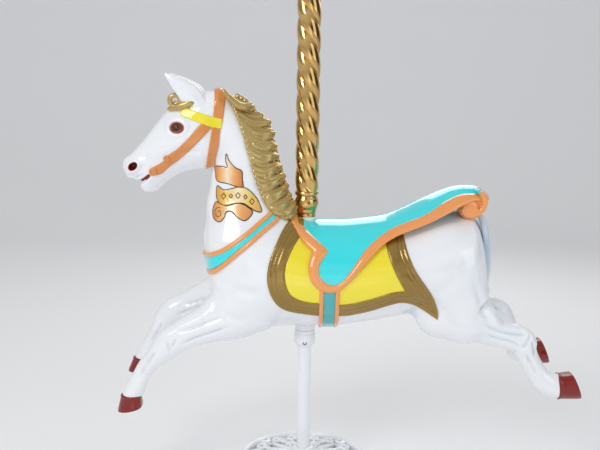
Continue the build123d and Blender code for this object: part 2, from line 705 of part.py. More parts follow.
# ================================================================ saddle, cloth, girth
seat = barrel(SEAT)
saddle_prism = over_back(SADDLE_OUTLINE, rear=(475, 800), front=(-19, 800))
trim_prism = over_back(TRIM_OUTLINE, rear=(475, 800), front=(-42, 800))
cloth_prism = over_back(CLOTH_OUTLINE, rear=(200, 760), front=(-30, 760))
border_prism = over_back(BORDER_OUTLINE, rear=(245, 760), front=(-60, 760))

cantle_rings = side_rings(x=415, y=48, z=694, outer_r=21, inner_r=8, half_t=8)
cantle_scrolls = carve(cantle_rings, torso_cloth)
save(cantle_scrolls, "cantle_scrolls")

save(carve(seat, torso_cloth, passage, within=saddle_prism), "saddle")
saddle_trim = carve(
    seat, saddle_prism, torso_cloth, passage, cantle_scrolls, within=trim_prism,
)
save(saddle_trim, "saddle_trim")

saddle_cloth = carve(torso_cloth, torso, passage, within=cloth_prism)
save(saddle_cloth, "saddle_cloth")
cloth_border = carve(
    torso_border, cloth_prism, trim_prism, torso, *legs.values(), within=border_prism,
)
save(cloth_border, "cloth_border")

for name, bands in GIRTH_BANDS.items():
    with BuildPart() as girth:
        with BuildSketch(Plane.XY.offset(GIRTH_BOTTOM)):
            for front, rear in bands:
                with Locations(((front + rear) / 2, 0)):
                    Rectangle(rear - front, GIRTH_SPAN)
        extrude(amount=GIRTH_TOP - GIRTH_BOTTOM)
        add(torso_tack, mode=Mode.INTERSECT)
        for solid in (torso, saddle_cloth, cloth_border):
            add(solid, mode=Mode.SUBTRACT)
    save(girth.part, name)

# ================================================================ breast strap
strap_whole = strip_between(STRAP_TOP, STRAP_BOTTOM)
strap_centre = strip_between(STRAP_CENTRE_TOP, STRAP_CENTRE_BOTTOM)
save(carve(torso_border, torso, neck_body, within=strap_centre), "breast_strap")
save(
    carve(torso_border, strap_centre, torso, neck_body, within=strap_whole),
    "breast_strap_trim",
)

# ================================================================ bridle and neck scroll
head_tack = limb(HEAD, grow=BRIDLE_T)
neck_tack = limb(NECK, grow=BRIDLE_T, extend=6.0)
save(carve(neck_tack, neck_body, head_body, within=side_prism(CROWN_STRAP)), "crown_strap")
save(carve(head_tack, head_body, within=side_prism(CHEEK_STRAP)), "cheek_straps")
save(
    carve(head_tack, head_body, *ears, forelock.part, within=side_prism(BROWBAND)),
    "browband",
)
save(side_rings(x=-388, y=46, z=780, outer_r=15, inner_r=9, half_t=2), "bit_rings")

# on the left side only
scroll_prism = side_prism([NECK_SCROLL + [NECK_SCROLL[0]]], right=0.0)
neck_scroll = carve(
    limb(NECK, grow=NECK_SCROLL_T), neck_body, torso, within=scroll_prism,
)
save(neck_scroll, "neck_scroll")
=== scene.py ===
# A carousel horse on a twisted brass pole with a pierced scrollwork foot.
# The pole stands on the origin along +Z. The horse faces -X, so its left side is -Y.
# Sizes are in millimetres unless a comment says metres; meshes are scaled by MM.
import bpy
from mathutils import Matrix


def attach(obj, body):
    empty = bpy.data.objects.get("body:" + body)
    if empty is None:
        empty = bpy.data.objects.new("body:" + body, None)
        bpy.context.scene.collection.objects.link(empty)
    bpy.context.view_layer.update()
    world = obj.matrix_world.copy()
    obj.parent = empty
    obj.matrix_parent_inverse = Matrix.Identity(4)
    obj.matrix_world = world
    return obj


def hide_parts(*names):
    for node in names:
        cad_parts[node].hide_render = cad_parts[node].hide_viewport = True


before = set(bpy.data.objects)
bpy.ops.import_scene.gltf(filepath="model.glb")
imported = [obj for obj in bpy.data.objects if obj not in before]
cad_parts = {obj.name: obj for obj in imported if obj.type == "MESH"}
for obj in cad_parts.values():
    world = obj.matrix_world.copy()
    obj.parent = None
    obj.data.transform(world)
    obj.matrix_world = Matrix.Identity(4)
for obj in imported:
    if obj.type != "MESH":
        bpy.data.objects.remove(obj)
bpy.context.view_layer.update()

import copy
import math
from contextlib import contextmanager

import bmesh
import bpy
import numpy as np
from mathutils import Matrix, Vector

MM = 0.001
TAU = 2 * math.pi


def step(full):
    return full


BODY_STEP = step(3.2)      # grid step of the whole figure
HEAD_STEP = step(2.0)
RELIEF_STEP = step(2.5)    # default for applied pieces
HAIR_STEP = step(1.7)
HALF_SPAN = 176                 # half width of the figure's grid
BORE_RADIUS = 20.4              # pole bore through belly and back
TACK_CLEARANCE = 24.0           # radius kept free around the pole


# ------------------------------------------------------------------ numeric helpers
def smin(a, b, k):
    """Minimum with a rounded join of width k."""
    h = np.clip(0.5 + 0.5 * (b - a) / k, 0.0, 1.0)
    return b + (a - b) * h - k * h * (1.0 - h)


def smax(a, b, k):
    return -smin(-a, -b, k)


def pchip(xs, ys, x):
    """Monotone cubic through the table."""
    xs = np.asarray(xs, float)
    ys = np.asarray(ys, float)
    gap = np.diff(xs)
    slope = np.diff(ys) / gap
    m = np.zeros_like(xs)
    m[0], m[-1] = slope[0], slope[-1]
    for i in range(1, len(xs) - 1):
        if slope[i - 1] * slope[i] > 0:
            w1 = 2 * gap[i] + gap[i - 1]
            w2 = gap[i] + 2 * gap[i - 1]
            m[i] = (w1 + w2) / (w1 / slope[i - 1] + w2 / slope[i])
    x = np.clip(x, xs[0], xs[-1])
    i = np.clip(np.searchsorted(xs, x) - 1, 0, len(xs) - 2)
    t = (x - xs[i]) / gap[i]
    return ((1 + 2 * t) * (1 - t) ** 2 * ys[i] + t * (1 - t) ** 2 * gap[i] * m[i]
            + t * t * (3 - 2 * t) * ys[i + 1] + t * t * (t - 1) * gap[i] * m[i + 1])


def column_at(table, column, x):
    """One column of a table, read at x against its first column."""
    return pchip([row[0] for row in table], [row[column] for row in table], x)


def catmull(points, per=8, closed=False):
    """Catmull-Rom curve with `per` samples to each span."""
    p = np.asarray(points, float)
    n = len(p)
    out = []
    for i in range(n if closed else n - 1):
        if closed:
            a, b, c, d = p[(i - 1) % n], p[i], p[(i + 1) % n], p[(i + 2) % n]
        else:
            a = p[i - 1] if i > 0 else 2 * p[0] - p[1]
            b, c = p[i], p[i + 1]
            d = p[i + 2] if i + 2 < n else 2 * p[-1] - p[-2]
        for k in range(per):
            t = k / per
            out.append(0.5 * ((2 * b) + (c - a) * t + (2 * a - 5 * b + 4 * c - d) * t * t
                              + (3 * b - a - 3 * c + d) * t ** 3))
    if not closed:
        out.append(p[-1])
    return np.array(out)


def line_dist(x, z, line):
    """Distance to a polyline in a plane, and the place along it in index units."""
    best = np.full(np.broadcast(x, z).shape, 1e9)
    along = np.zeros_like(best)
    for i in range(len(line) - 1):
        ax, az = line[i]
        dx, dz = line[i + 1] - line[i]
        length2 = dx * dx + dz * dz + 1e-12
        t = np.clip(((x - ax) * dx + (z - az) * dz) / length2, 0, 1)
        dist = (x - ax - t * dx) ** 2 + (z - az - t * dz) ** 2
        nearer = dist < best
        best = np.where(nearer, dist, best)
        along = np.where(nearer, i + t, along)
    return np.sqrt(best), along


def read_along(values, along):
    """Values given at the points of a polyline, interpolated at `along`."""
    i = np.clip(along.astype(int), 0, len(values) - 2)
    t = along - i
    return values[i] * (1 - t) + values[i + 1] * t


def poly_sdf(x, z, outline):
    """Signed distance in a plane to a closed outline, negative inside."""
    best = np.full(np.broadcast(x, z).shape, 1e9)
    inside = np.zeros(best.shape, bool)
    for (ax, az), (bx, bz) in zip(outline, np.roll(outline, -1, 0)):
        dx, dz = bx - ax, bz - az
        length2 = dx * dx + dz * dz + 1e-12
        t = np.clip(((x - ax) * dx + (z - az) * dz) / length2, 0, 1)
        best = np.minimum(best, (x - ax - t * dx) ** 2 + (z - az - t * dz) ** 2)
        inside ^= ((az > z) != (bz > z)) & (x < (bx - ax) * (z - az) / (bz - az + 1e-12) + ax)
    dist = np.sqrt(best)
    return np.where(inside, -dist, dist)


def ellipse_f(u, v, a, b):
    """About the signed distance to an ellipse with half axes a and b."""
    k0 = np.sqrt((u / a) ** 2 + (v / b) ** 2) + 1e-9
    k1 = np.sqrt((u / (a * a)) ** 2 + (v / (b * b)) ** 2) + 1e-9
    return k0 * (k0 - 1.0) / k1


class Grid:
    """Regular sample points. X, Y, Z broadcast to the volume, X2 and Z2 to the side plane."""

    def __init__(self, lo, hi, h):
        self.h = h
        self.lo = np.array(lo, float)
        n = np.maximum(((np.array(hi) - self.lo) / h).astype(int) + 1, 4)
        self.set_axes(*(self.lo[a] + h * np.arange(n[a]) for a in range(3)))

    def set_axes(self, x, y, z):
        self.x, self.y, self.z = x, y, z
        self.shape = (len(x), len(y), len(z))
        self.X, self.Y, self.Z = x[:, None, None], y[None, :, None], z[None, None, :]
        self.X2, self.Z2 = x[:, None], z[None, :]

    def box(self, lo, hi):
        """Slices that cover the box from lo to hi."""
        n = np.array(self.shape)
        a = np.clip(((np.array(lo) - self.lo) / self.h).astype(int), 0, n - 1)
        b = np.clip(((np.array(hi) - self.lo) / self.h).astype(int) + 2, 1, n)
        return tuple(slice(i, j) for i, j in zip(a, b))

    def part(self, box):
        part = copy.copy(self)
        part.set_axes(self.x[box[0]], self.y[box[1]], self.z[box[2]])
        return part


def surface_nets(field, lo, h):
    """Vertices and quads of the zero surface of a field on a regular grid."""
    inside = field < 0
    nx, ny, nz = field.shape
    corners = [(i, j, k) for i in (0, 1) for j in (0, 1) for k in (0, 1)]
    count = np.zeros((nx - 1, ny - 1, nz - 1), np.int8)
    for i, j, k in corners:
        count += inside[i:nx - 1 + i, j:ny - 1 + j, k:nz - 1 + k]
    active = (count > 0) & (count < 8)
    cells = np.argwhere(active)
    index = -np.ones(active.shape, np.int64)
    index[active] = np.arange(len(cells))
    total = np.zeros((len(cells), 3))
    hits = np.zeros(len(cells))
    value = {corner: field[tuple((cells + corner).T)] for corner in corners}
    for corner in corners:
        for axis in range(3):
            if corner[axis]:
                continue
            other = corner[:axis] + (1,) + corner[axis + 1:]
            a, b = value[corner], value[other]
            crossed = (a < 0) != (b < 0)
            point = np.array(corner, float)[None, :].repeat(len(cells), 0)
            point[:, axis] = np.where(crossed, a / np.where(crossed, a - b, 1.0), 0.0)
            total[crossed] += point[crossed]
            hits[crossed] += 1
    verts = cells + total / hits[:, None]
    quads = []
    for axis in range(3):
        low, high = [slice(1, -1)] * 3, [slice(1, -1)] * 3
        low[axis], high[axis] = slice(0, -1), slice(1, None)
        start = inside[tuple(low)]
        edges = np.argwhere(start != inside[tuple(high)])
        outward = start[tuple(edges.T)]
        base = edges + 1
        base[:, axis] = edges[:, axis]
        one, two = np.eye(3, dtype=int)[[(axis + 1) % 3, (axis + 2) % 3]]
        quad = np.stack([index[tuple((base - back).T)] for back in (one + two, two, 0 * one, one)], 1)
        quad[~outward] = quad[~outward][:, ::-1]
        quads.append(quad)
    return verts * h + lo, np.concatenate(quads)


def relax(verts, quads, rounds=1):
    """Moves each vertex halfway to the mean of its neighbours."""
    edges = np.concatenate([quads[:, [k, (k + 1) % 4]] for k in range(4)])
    for _ in range(rounds):
        total = np.zeros_like(verts)
        count = np.zeros(len(verts))
        for a, b in ((0, 1), (1, 0)):
            for c in range(3):
                total[:, c] += np.bincount(edges[:, a], verts[edges[:, b], c], len(verts))
            count += np.bincount(edges[:, a], minlength=len(verts))
        verts = verts * 0.5 + 0.5 * total / np.maximum(count, 1)[:, None]
    return verts


def sample(field, grid, points):
    """Trilinear value of a grid field at points."""
    q = np.clip((np.asarray(points) - grid.lo) / grid.h, 0, np.array(field.shape) - 1.001)
    i = q.astype(int)
    f = q - i
    out = 0
    for corner in np.ndindex(2, 2, 2):
        wx, wy, wz = (f[..., k] if corner[k] else 1 - f[..., k] for k in range(3))
        a, b, c = corner
        out = out + wx * wy * wz * field[i[..., 0] + a, i[..., 1] + b, i[..., 2] + c]
    return out


def resample(field, source, grid):
    """Trilinear resampling of a field on another regular grid, axis by axis."""
    out = field
    for axis, coords in enumerate((grid.x, grid.y, grid.z)):
        q = np.clip((coords - source.lo[axis]) / source.h, 0, field.shape[axis] - 1.001)
        i = q.astype(int)
        shape = [1, 1, 1]
        shape[axis] = len(coords)
        f = (q - i).reshape(shape)
        out = np.take(out, i, axis=axis) * (1 - f) + np.take(out, i + 1, axis=axis) * f
    return out


# ------------------------------------------------------------------ the figure's tables
# x, top z, bottom z, half width
TORSO = [
    (-250, 640, 508, 56), (-240, 668, 468, 80), (-215, 690, 425, 100), (-170, 700, 388, 116),
    (-110, 690, 382, 126), (-60, 672, 388, 131), (0, 652, 392, 134), (60, 647, 391, 136),
    (120, 649, 399, 138), (180, 655, 409, 139), (250, 667, 424, 140), (310, 681, 433, 140),
    (370, 688, 434, 135), (410, 684, 446, 122), (432, 670, 474, 98), (447, 648, 508, 74)]
# Side outlines: x, z
NECK_OUTLINE = [
    (-258, 600), (-254, 663), (-251, 711), (-243, 747), (-239, 796), (-238, 850), (-246, 905),
    (-240, 955), (-222, 980), (-205, 972), (-165, 938), (-135, 898), (-112, 858), (-95, 813),
    (-80, 768), (-62, 722), (-36, 684), (20, 640), (0, 560), (-120, 500), (-220, 520)]
HEAD_OUTLINE = [
    (-205, 978), (-240, 982), (-275, 976), (-302, 962), (-326, 949), (-348, 932), (-372, 905),
    (-406, 861), (-440, 824), (-458, 810), (-462, 793), (-458, 778), (-449, 766), (-434, 760),
    (-421, 751), (-413, 733), (-398, 727), (-378, 731), (-363, 745), (-345, 761), (-318, 777),
    (-298, 783), (-273, 788), (-248, 792), (-205, 818), (-180, 880), (-186, 940)]
# z, half width
NECK_WIDTH = [(500, 112), (600, 108), (650, 92), (700, 76), (740, 66), (800, 55), (850, 49),
              (900, 45), (985, 38)]
# z, depth over which the edge rounds
NECK_ROUND = [(500, 130), (600, 128), (680, 104), (740, 86), (800, 76), (850, 70), (900, 62),
              (985, 44)]
# x, z of the head's axis, half width, depth over which the edge rounds
HEAD_STATIONS = np.array([
    (-205, 900, 46, 70), (-262, 868, 54, 84), (-315, 846, 51, 74), (-358, 820, 42, 58),
    (-398, 790, 34, 47), (-430, 773, 32, 40), (-458, 760, 24, 26)], float)
# Limbs: x, z, half depth, half width, distance from the middle plane
FORE_LEFT = [
    (-120, 500, 96, 52, 58), (-165, 452, 78, 50, 64), (-205, 428, 62, 44, 68),
    (-240, 408, 50, 40, 72), (-280, 391, 42, 34, 74), (-314, 373, 38, 31, 75),
    (-332, 361, 38, 31, 75), (-348, 347, 36, 30, 75), (-372, 321, 27, 24, 75),
    (-395, 297, 23, 20, 75), (-412, 268, 22, 19, 75), (-422, 247, 25, 23, 75),
    (-430, 228, 25, 24, 75), (-434, 214, 26, 25, 75)]
FORE_RIGHT = [
    (-120, 510, 96, 52, 58), (-180, 470, 70, 50, 64), (-225, 450, 56, 44, 68),
    (-262, 436, 46, 39, 72), (-300, 419, 41, 34, 74), (-330, 406, 38, 31, 75),
    (-350, 396, 37, 31, 75), (-366, 380, 33, 28, 75), (-383, 352, 26, 23, 75),
    (-402, 325, 22, 20, 75), (-416, 300, 23, 20, 75), (-422, 285, 25, 23, 75),
    (-428, 272, 25, 24, 75), (-431, 262, 26, 25, 75)]
HIND_LEFT = [
    (338, 560, 101, 62, 66), (358, 505, 98, 60, 68), (384, 462, 84, 56, 70),
    (402, 436, 64, 50, 72), (438, 418, 53, 42, 73), (475, 395, 37, 32, 74),
    (505, 386, 33.5, 28, 75), (529, 381, 35, 28, 75), (546, 368, 34, 28, 75),
    (554, 346, 27, 24, 75), (569, 318, 24, 21, 75), (588, 288, 25.5, 22, 75),
    (606, 268, 28.5, 25, 75), (624, 260, 30, 27, 75), (640, 258, 31, 28, 75)]
HIND_RIGHT = [
    (338, 560, 101, 62, 66), (356, 510, 97, 60, 68), (380, 474, 80, 56, 70),
    (394, 452, 62, 50, 72), (422, 437, 50, 42, 73), (450, 428, 38, 32, 74),
    (478, 420, 32, 27, 75), (502, 414, 33, 26, 75), (520, 402, 33, 27, 75),
    (537, 379, 27, 24, 75), (550, 353, 22, 20, 75), (562, 325, 23, 21, 75),
    (570, 307, 29, 25, 75), (585, 302, 30, 27, 75), (600, 301, 31, 28, 75)]
STIFLE = [(288, 456, 28, 40, 66), (320, 428, 43, 46, 69), (352, 426, 48, 50, 70),
          (388, 420, 53, 52, 71)]
ELBOW = [(-118, 422, 35, 40, 58), (-152, 416, 40, 42, 60), (-190, 407, 42, 42, 64)]
RIGHT_RAISE = 8.0               # stifle and elbow sit higher on the right
# name, side, stations, x span, z span, point and normal of the cut from the barrel (x, z)
LEGS = [
    ("leg_fore_left", -1, FORE_LEFT, (-480, 40), (180, 620), (-208, 428), (-0.9, -0.44)),
    ("leg_fore_right", 1, FORE_RIGHT, (-480, 40), (230, 640), (-228, 450), (-0.93, -0.35)),
    ("leg_hind_left", -1, HIND_LEFT, (200, 720), (215, 690), (398, 440), (0.86, -0.5)),
    ("leg_hind_right", 1, HIND_RIGHT, (200, 720), (255, 690), (392, 455), (0.88, -0.46))]
# Muscle and tendon lines: side (0 is both), width, depth (negative raises), points x, z
RELIEF = [
    # left fore
    (-1, 6, 3.2, [(-190, 440), (-240, 420), (-285, 402), (-318, 392)]),
    (-1, 6, 3.0, [(-175, 415), (-225, 396), (-272, 378), (-312, 358)]),
    (-1, 5, 3.0, [(-345, 372), (-336, 356), (-330, 340)]),
    (-1, 4.5, 3.0, [(-362, 350), (-384, 322), (-400, 292), (-410, 266)]),
    (-1, 5, 2.4, [(-318, 378), (-322, 366), (-328, 352)]),
    # right fore
    (1, 6, 3.0, [(-240, 452), (-285, 434), (-325, 424)]),
    (1, 6, 3.0, [(-255, 432), (-300, 412), (-340, 396)]),
    (1, 4.5, 3.0, [(-372, 376), (-392, 345), (-410, 315)]),
    # left hind
    (-1, 9, 3.0, [(300, 520), (330, 470), (370, 430), (420, 408)]),
    (-1, 9, 3.4, [(392, 560), (420, 500), (440, 450), (480, 412)]),
    (-1, 6, 3.2, [(430, 436), (470, 410), (515, 399), (550, 398)]),
    (-1, 6, 3.0, [(430, 402), (470, 388), (510, 377), (534, 362)]),
    (-1, 5, 3.0, [(534, 356), (548, 376), (560, 396)]),
    (-1, 5, 3.2, [(560, 384), (566, 362), (572, 338)]),
    (-1, 4.5, 3.0, [(546, 352), (562, 320), (582, 288)]),
    (-1, 8, 2.2, [(228, 470), (240, 454), (258, 438)]),
    (-1, 9, 2.0, [(-50, 462), (-66, 436), (-88, 408)]),
    (-1, 14, 2.6, [(310, 500), (350, 540), (380, 600)]),
    # right hind
    (1, 6, 3.0, [(400, 470), (440, 440), (490, 430), (518, 420)]),
    (1, 6, 3.0, [(410, 440), (450, 424), (496, 408)]),
    (1, 4.5, 3.0, [(530, 390), (546, 354), (562, 324)]),
    (1, 9, 3.4, [(392, 560), (420, 500), (440, 455)]),
    (1, 14, 2.6, [(310, 500), (350, 540), (380, 600)]),
    # shoulder and chest
    (0, 13, 3.2, [(-225, 560), (-185, 520), (-140, 500), (-100, 505)]),
    (0, 15, 2.6, [(-120, 640), (-165, 590), (-200, 540), (-215, 500)]),
    (0, 12, 3.0, [(-228, 470), (-190, 440), (-140, 425)]),
    # neck
    (0, 12, 3.2, [(-212, 860), (-196, 800), (-186, 740), (-190, 690)]),
    (0, 14, -2.6, [(-165, 870), (-140, 800), (-120, 740)]),
    # flank
    (0, 16, 3.0, [(255, 430), (275, 470), (290, 510)])]
MOUTH_LINE = [(-432, 746), (-424, 752), (-414, 756), (-404, 762), (-392, 771)]
# Head lines on both sides: depth (negative raises), width, points x, z
HEAD_LINES = [
    (8.5, 4.3, MOUTH_LINE),
    # lips
    (-2.6, 5.0, [(-452, 763), (-436, 765), (-418, 762), (-400, 773), (-388, 780)]),
    (-2.6, 5.0, [(-414, 744), (-402, 752), (-388, 762)]),
    (2.4, 2.8, [(-440, 757), (-428, 764), (-416, 771), (-404, 777)]),
    (2.6, 9.0, [(-410, 790), (-400, 806), (-396, 822)]),
    # brow
    (-3.0, 6.0, [(-345, 902), (-330, 914), (-310, 914), (-292, 900)]),
    # facial crest and cheek
    (-2.4, 8.0, [(-305, 862), (-340, 842), (-375, 820), (-405, 805)]),
    (2.0, 7.0, [(-330, 800), (-318, 822), (-296, 836), (-270, 834)])]
NOSTRIL_X, NOSTRIL_Z = -431, 794
EYE_X, EYE_Z = -319, 891
# x, z, half depth, half width, distance from the middle plane
EAR_STATIONS = [
    (-268, 948, 24, 17, 27), (-286, 968, 29, 18, 31), (-303, 984, 25, 16, 34),
    (-320, 999, 18, 13, 37), (-334, 1010, 10.5, 9, 39), (-345, 1019, 4, 4, 40)]
EAR = catmull(EAR_STATIONS, 6)
EAR_FRONT_X, EAR_FRONT_Z = -0.678, -0.735   # direction the cup faces
EAR_CUP_SHIFT = 0.52            # cup centre ahead of the ear's, in half depths
EAR_CUP_DEPTH, EAR_CUP_WIDTH = 0.62, 0.60   # cup size as parts of the ear's
EAR_CUP_BOTTOM = 962


# ------------------------------------------------------------------ the figure as a field
def torso_f(grid):
    x = grid.x
    top, bottom, width = (column_at(TORSO, k, x) for k in (1, 2, 3))
    half = ((top - bottom) / 2)[:, None, None]
    middle = ((top + bottom) / 2)[:, None, None]
    field = ellipse_f(grid.Z - middle, grid.Y, half, width[:, None, None])
    ends = np.maximum(TORSO[0][0] - x, x - TORSO[-1][0]) + 5.0
    return smax(field, ends[:, None, None] * np.ones_like(field), 44.0)


def limb_f(grid, stations, side):
    line = catmull(stations, 6)
    dist, along = line_dist(grid.X2, grid.Z2, line[:, :2])
    depth, width, y = (read_along(line[:, k], along)[:, None, :] for k in (2, 3, 4))
    return ellipse_f(dist[:, None, :], grid.Y - y * side, depth, width)


def profile_f(grid, outline, rounding, width):
    """Solid with this side outline; width is its half width on the side plane."""
    dist = poly_sdf(grid.X2, grid.Z2, catmull(outline, 6, True))
    edge = np.maximum(1 + dist / rounding, 0.0)[:, None, :]
    rounding = rounding[:, None, :] * np.ones_like(grid.Y)
    width = width[:, None, :]
    k0 = np.sqrt(edge ** 2 + (grid.Y / width) ** 2) + 1e-9
    k1 = np.sqrt((edge / rounding) ** 2 + (grid.Y / (width * width)) ** 2) + 1e-9
    return k0 * (k0 - 1) / k1


def neck_f(grid):
    rounding, width = (np.broadcast_to(column_at(table, 1, grid.z)[None, :],
                                       (len(grid.x), len(grid.z)))
                       for table in (NECK_ROUND, NECK_WIDTH))
    return profile_f(grid, NECK_OUTLINE, rounding, width)


def head_f(grid):
    axis = catmull(HEAD_STATIONS[:, :2], 6)
    count = len(HEAD_STATIONS)
    place = np.linspace(0, count - 1, len(axis))
    width, rounding = (pchip(np.arange(count), HEAD_STATIONS[:, k], place) for k in (2, 3))
    along = line_dist(grid.X2, grid.Z2, axis)[1]
    return profile_f(grid, HEAD_OUTLINE, read_along(rounding, along), read_along(width, along))


def merge(field, grid, shape, op, lo=None, hi=None):
    """Combines a shape into the field, inside the box lo..hi or all over."""
    box = np.s_[:, :, :] if lo is None else grid.box(lo, hi)
    field[box] = op(field[box], shape(grid.part(box)))


def blend(k):
    return lambda a, b: smin(a, b, k)


def line_bump(grid, side, width, depth, points):
    """Field offset along a side-plane line, fading at both ends: positive depth carves."""
    line = catmull(points, 6)
    dist, along = line_dist(grid.X2, grid.Z2, line)
    n = len(line) - 1
    fade = np.clip(np.minimum(along, n - along) / (0.22 * n), 0, 1)
    bump = (depth * np.exp(-(dist / width) ** 2) * fade)[:, None, :]
    return bump * (grid.Y * side > 0) if side else bump


def carve_relief(field, grid):
    """Cuts the muscle lines slab by slab; narrow lines are cut finer and deeper."""
    slab_count, reach = 64, 60
    for start in range(0, grid.shape[0], slab_count):
        box = np.s_[start:start + slab_count, :, :]
        slab = grid.part(box)
        bumps = 0
        for side, width, depth, points in RELIEF:
            xs = [p[0] for p in points]
            if min(xs) - reach < slab.x[-1] and max(xs) + reach > slab.x[0]:
                narrow = width < 8
                bumps = bumps + line_bump(slab, side, width * (0.72 if narrow else 1.0),
                                          depth * (1.7 if narrow else 1.15), points)
        field[box] += np.asarray(bumps).astype(np.float32)


def nostril_dist(x, z):
    dx, dz = x - NOSTRIL_X, z - NOSTRIL_Z
    return np.sqrt((-dx * 0.60 + dz * 0.80) ** 2 * 1.35 + (dx * 0.80 + dz * 0.60) ** 2 * 0.66)


def eye_dist(x, z, x_scale):
    return np.hypot((x - EYE_X) * x_scale, (z - EYE_Z) * 1.05)


def carve_head(grid):
    out = 0
    for depth, width, points in HEAD_LINES:
        dist, _ = line_dist(grid.X2, grid.Z2, catmull(points, 6))
        out = out + (depth * np.exp(-(dist / width) ** 2))[:, None, :]
    off_middle = np.abs(grid.Y)
    # nostril: flared rim and pit
    dist = nostril_dist(grid.X2, grid.Z2)
    out = out - (4.6 * np.exp(-((dist - 13) / 5.5) ** 2))[:, None, :] * (off_middle > 8)
    out = out + (15.0 * np.exp(-(dist / 7.8) ** 4))[:, None, :] * (off_middle > 8)
    # eye socket and its raised rim
    dist = eye_dist(grid.X2, grid.Z2, 0.85)
    out = out + (8.5 * np.exp(-(dist / 14.0) ** 4))[:, None, :] * (off_middle > 14)
    return out - (3.6 * np.exp(-((dist - 19) / 4.8) ** 2))[:, None, :] * (off_middle > 14)


def side_span(side, past=0):
    """y span of one side, reaching a little past the middle."""
    return (-HALF_SPAN, past) if side < 0 else (-past, HALF_SPAN)


def merge_limb(field, grid, stations, side, k, xs, zs, past=0):
    y0, y1 = side_span(side, past)
    merge(field, grid, lambda part: limb_f(part, stations, side), blend(k),
          (xs[0], y0, zs[0]), (xs[1], y1, zs[1]))


def body_field(grid):
    field = np.full(grid.shape, 400.0, np.float32)
    merge(field, grid, torso_f, np.minimum, (-420, -HALF_SPAN, 330), (560, HALF_SPAN, 780))
    merge(field, grid, neck_f, blend(26), (-300, -150, 440), (70, 150, 1020))
    merge(field, grid, head_f, blend(14), (-480, -90, 690), (-150, 90, 1030))
    for _, side, stations, xs, zs, _, _ in LEGS:
        merge_limb(field, grid, stations, side, 26, xs, zs, past=10)
    for side in (-1, 1):
        for stations, k, xs, zs in ((STIFLE, 18, (240, 480), (330, 560)),
                                    (ELBOW, 16, (-260, -50), (330, 540))):
            rise = 0.0 if side < 0 else RIGHT_RAISE
            raised = [(x, z + rise, *rest) for x, z, *rest in stations]
            merge_limb(field, grid, raised, side, k, xs, zs)
    carve_relief(field, grid)
    # bore for the pole, through belly and back
    near_pole = (np.abs(grid.x) < 40, np.abs(grid.y) < 40, (grid.z > 330) & (grid.z < 720))
    rows = [np.flatnonzero(mask) for mask in near_pole]
    box = tuple(slice(i[0], i[-1] + 1) for i in rows)
    part = grid.part(box)
    field[box] = smax(field[box], BORE_RADIUS - np.hypot(part.X, part.Y), 1.0)
    merge(field, grid, carve_head, np.add, (-480, -90, 700), (-240, 90, 960))
    return field


def head_field(grid):
    """The head and upper neck again, on a finer grid."""
    field = np.full(grid.shape, 400.0, np.float32)
    merge(field, grid, neck_f, blend(26))
    merge(field, grid, head_f, blend(14))
    merge(field, grid, lambda part: sum(line_bump(part, *r) for r in RELIEF if not r[0]), np.add)
    merge(field, grid, carve_head, np.add)
    return field


BODY_GRID = Grid((-480, -HALF_SPAN, 150), (720, HALF_SPAN, 1050), BODY_STEP)
BODY = body_field(BODY_GRID)
HEAD_GRID = Grid((-478, -80, 716), (-196, 80, 1034), HEAD_STEP)
HEAD = head_field(HEAD_GRID)


def ear_f(grid, side):
    dist, along = line_dist(grid.X2, grid.Z2, EAR[:, :2])
    i = np.clip(along.astype(int), 0, len(EAR) - 2)
    depth, width, y = EAR[i, 2][:, None, :], EAR[i, 3][:, None, :], (EAR[i, 4] * side)[:, None, :]
    outer = ellipse_f(dist[:, None, :], grid.Y - y, depth, width)
    # hollow on the front, opened outwards
    cup_line = EAR[:, :2].copy()
    cup_line[:, 0] += EAR_FRONT_X * EAR_CUP_SHIFT * EAR[:, 2]
    cup_line[:, 1] += EAR_FRONT_Z * EAR_CUP_SHIFT * EAR[:, 2]
    dist, along = line_dist(grid.X2, grid.Z2, cup_line)
    i = np.clip(along.astype(int), 0, len(EAR) - 2)
    inner = ellipse_f(dist[:, None, :], grid.Y - (EAR[i, 4] * side)[:, None, :] + side * 1.0,
                      np.maximum(EAR_CUP_DEPTH * EAR[i, 2], 1.6)[:, None, :],
                      np.maximum(EAR_CUP_WIDTH * EAR[i, 3], 1.4)[:, None, :])
    inner = np.where(grid.Z < EAR_CUP_BOTTOM, 50.0, inner)
    return smax(outer, -inner, 2.0)


# ------------------------------------------------------------------ materials
WHITE, BLACK = (1, 1, 1, 1), (0, 0, 0, 1)


def srgb(code):
    """Linear RGBA from a hex colour."""
    c = [int(code[i:i + 2], 16) / 255 for i in (0, 2, 4)]
    return tuple(((x + 0.055) / 1.055) ** 2.4 if x > 0.04045 else x / 12.92 for x in c) + (1.0,)


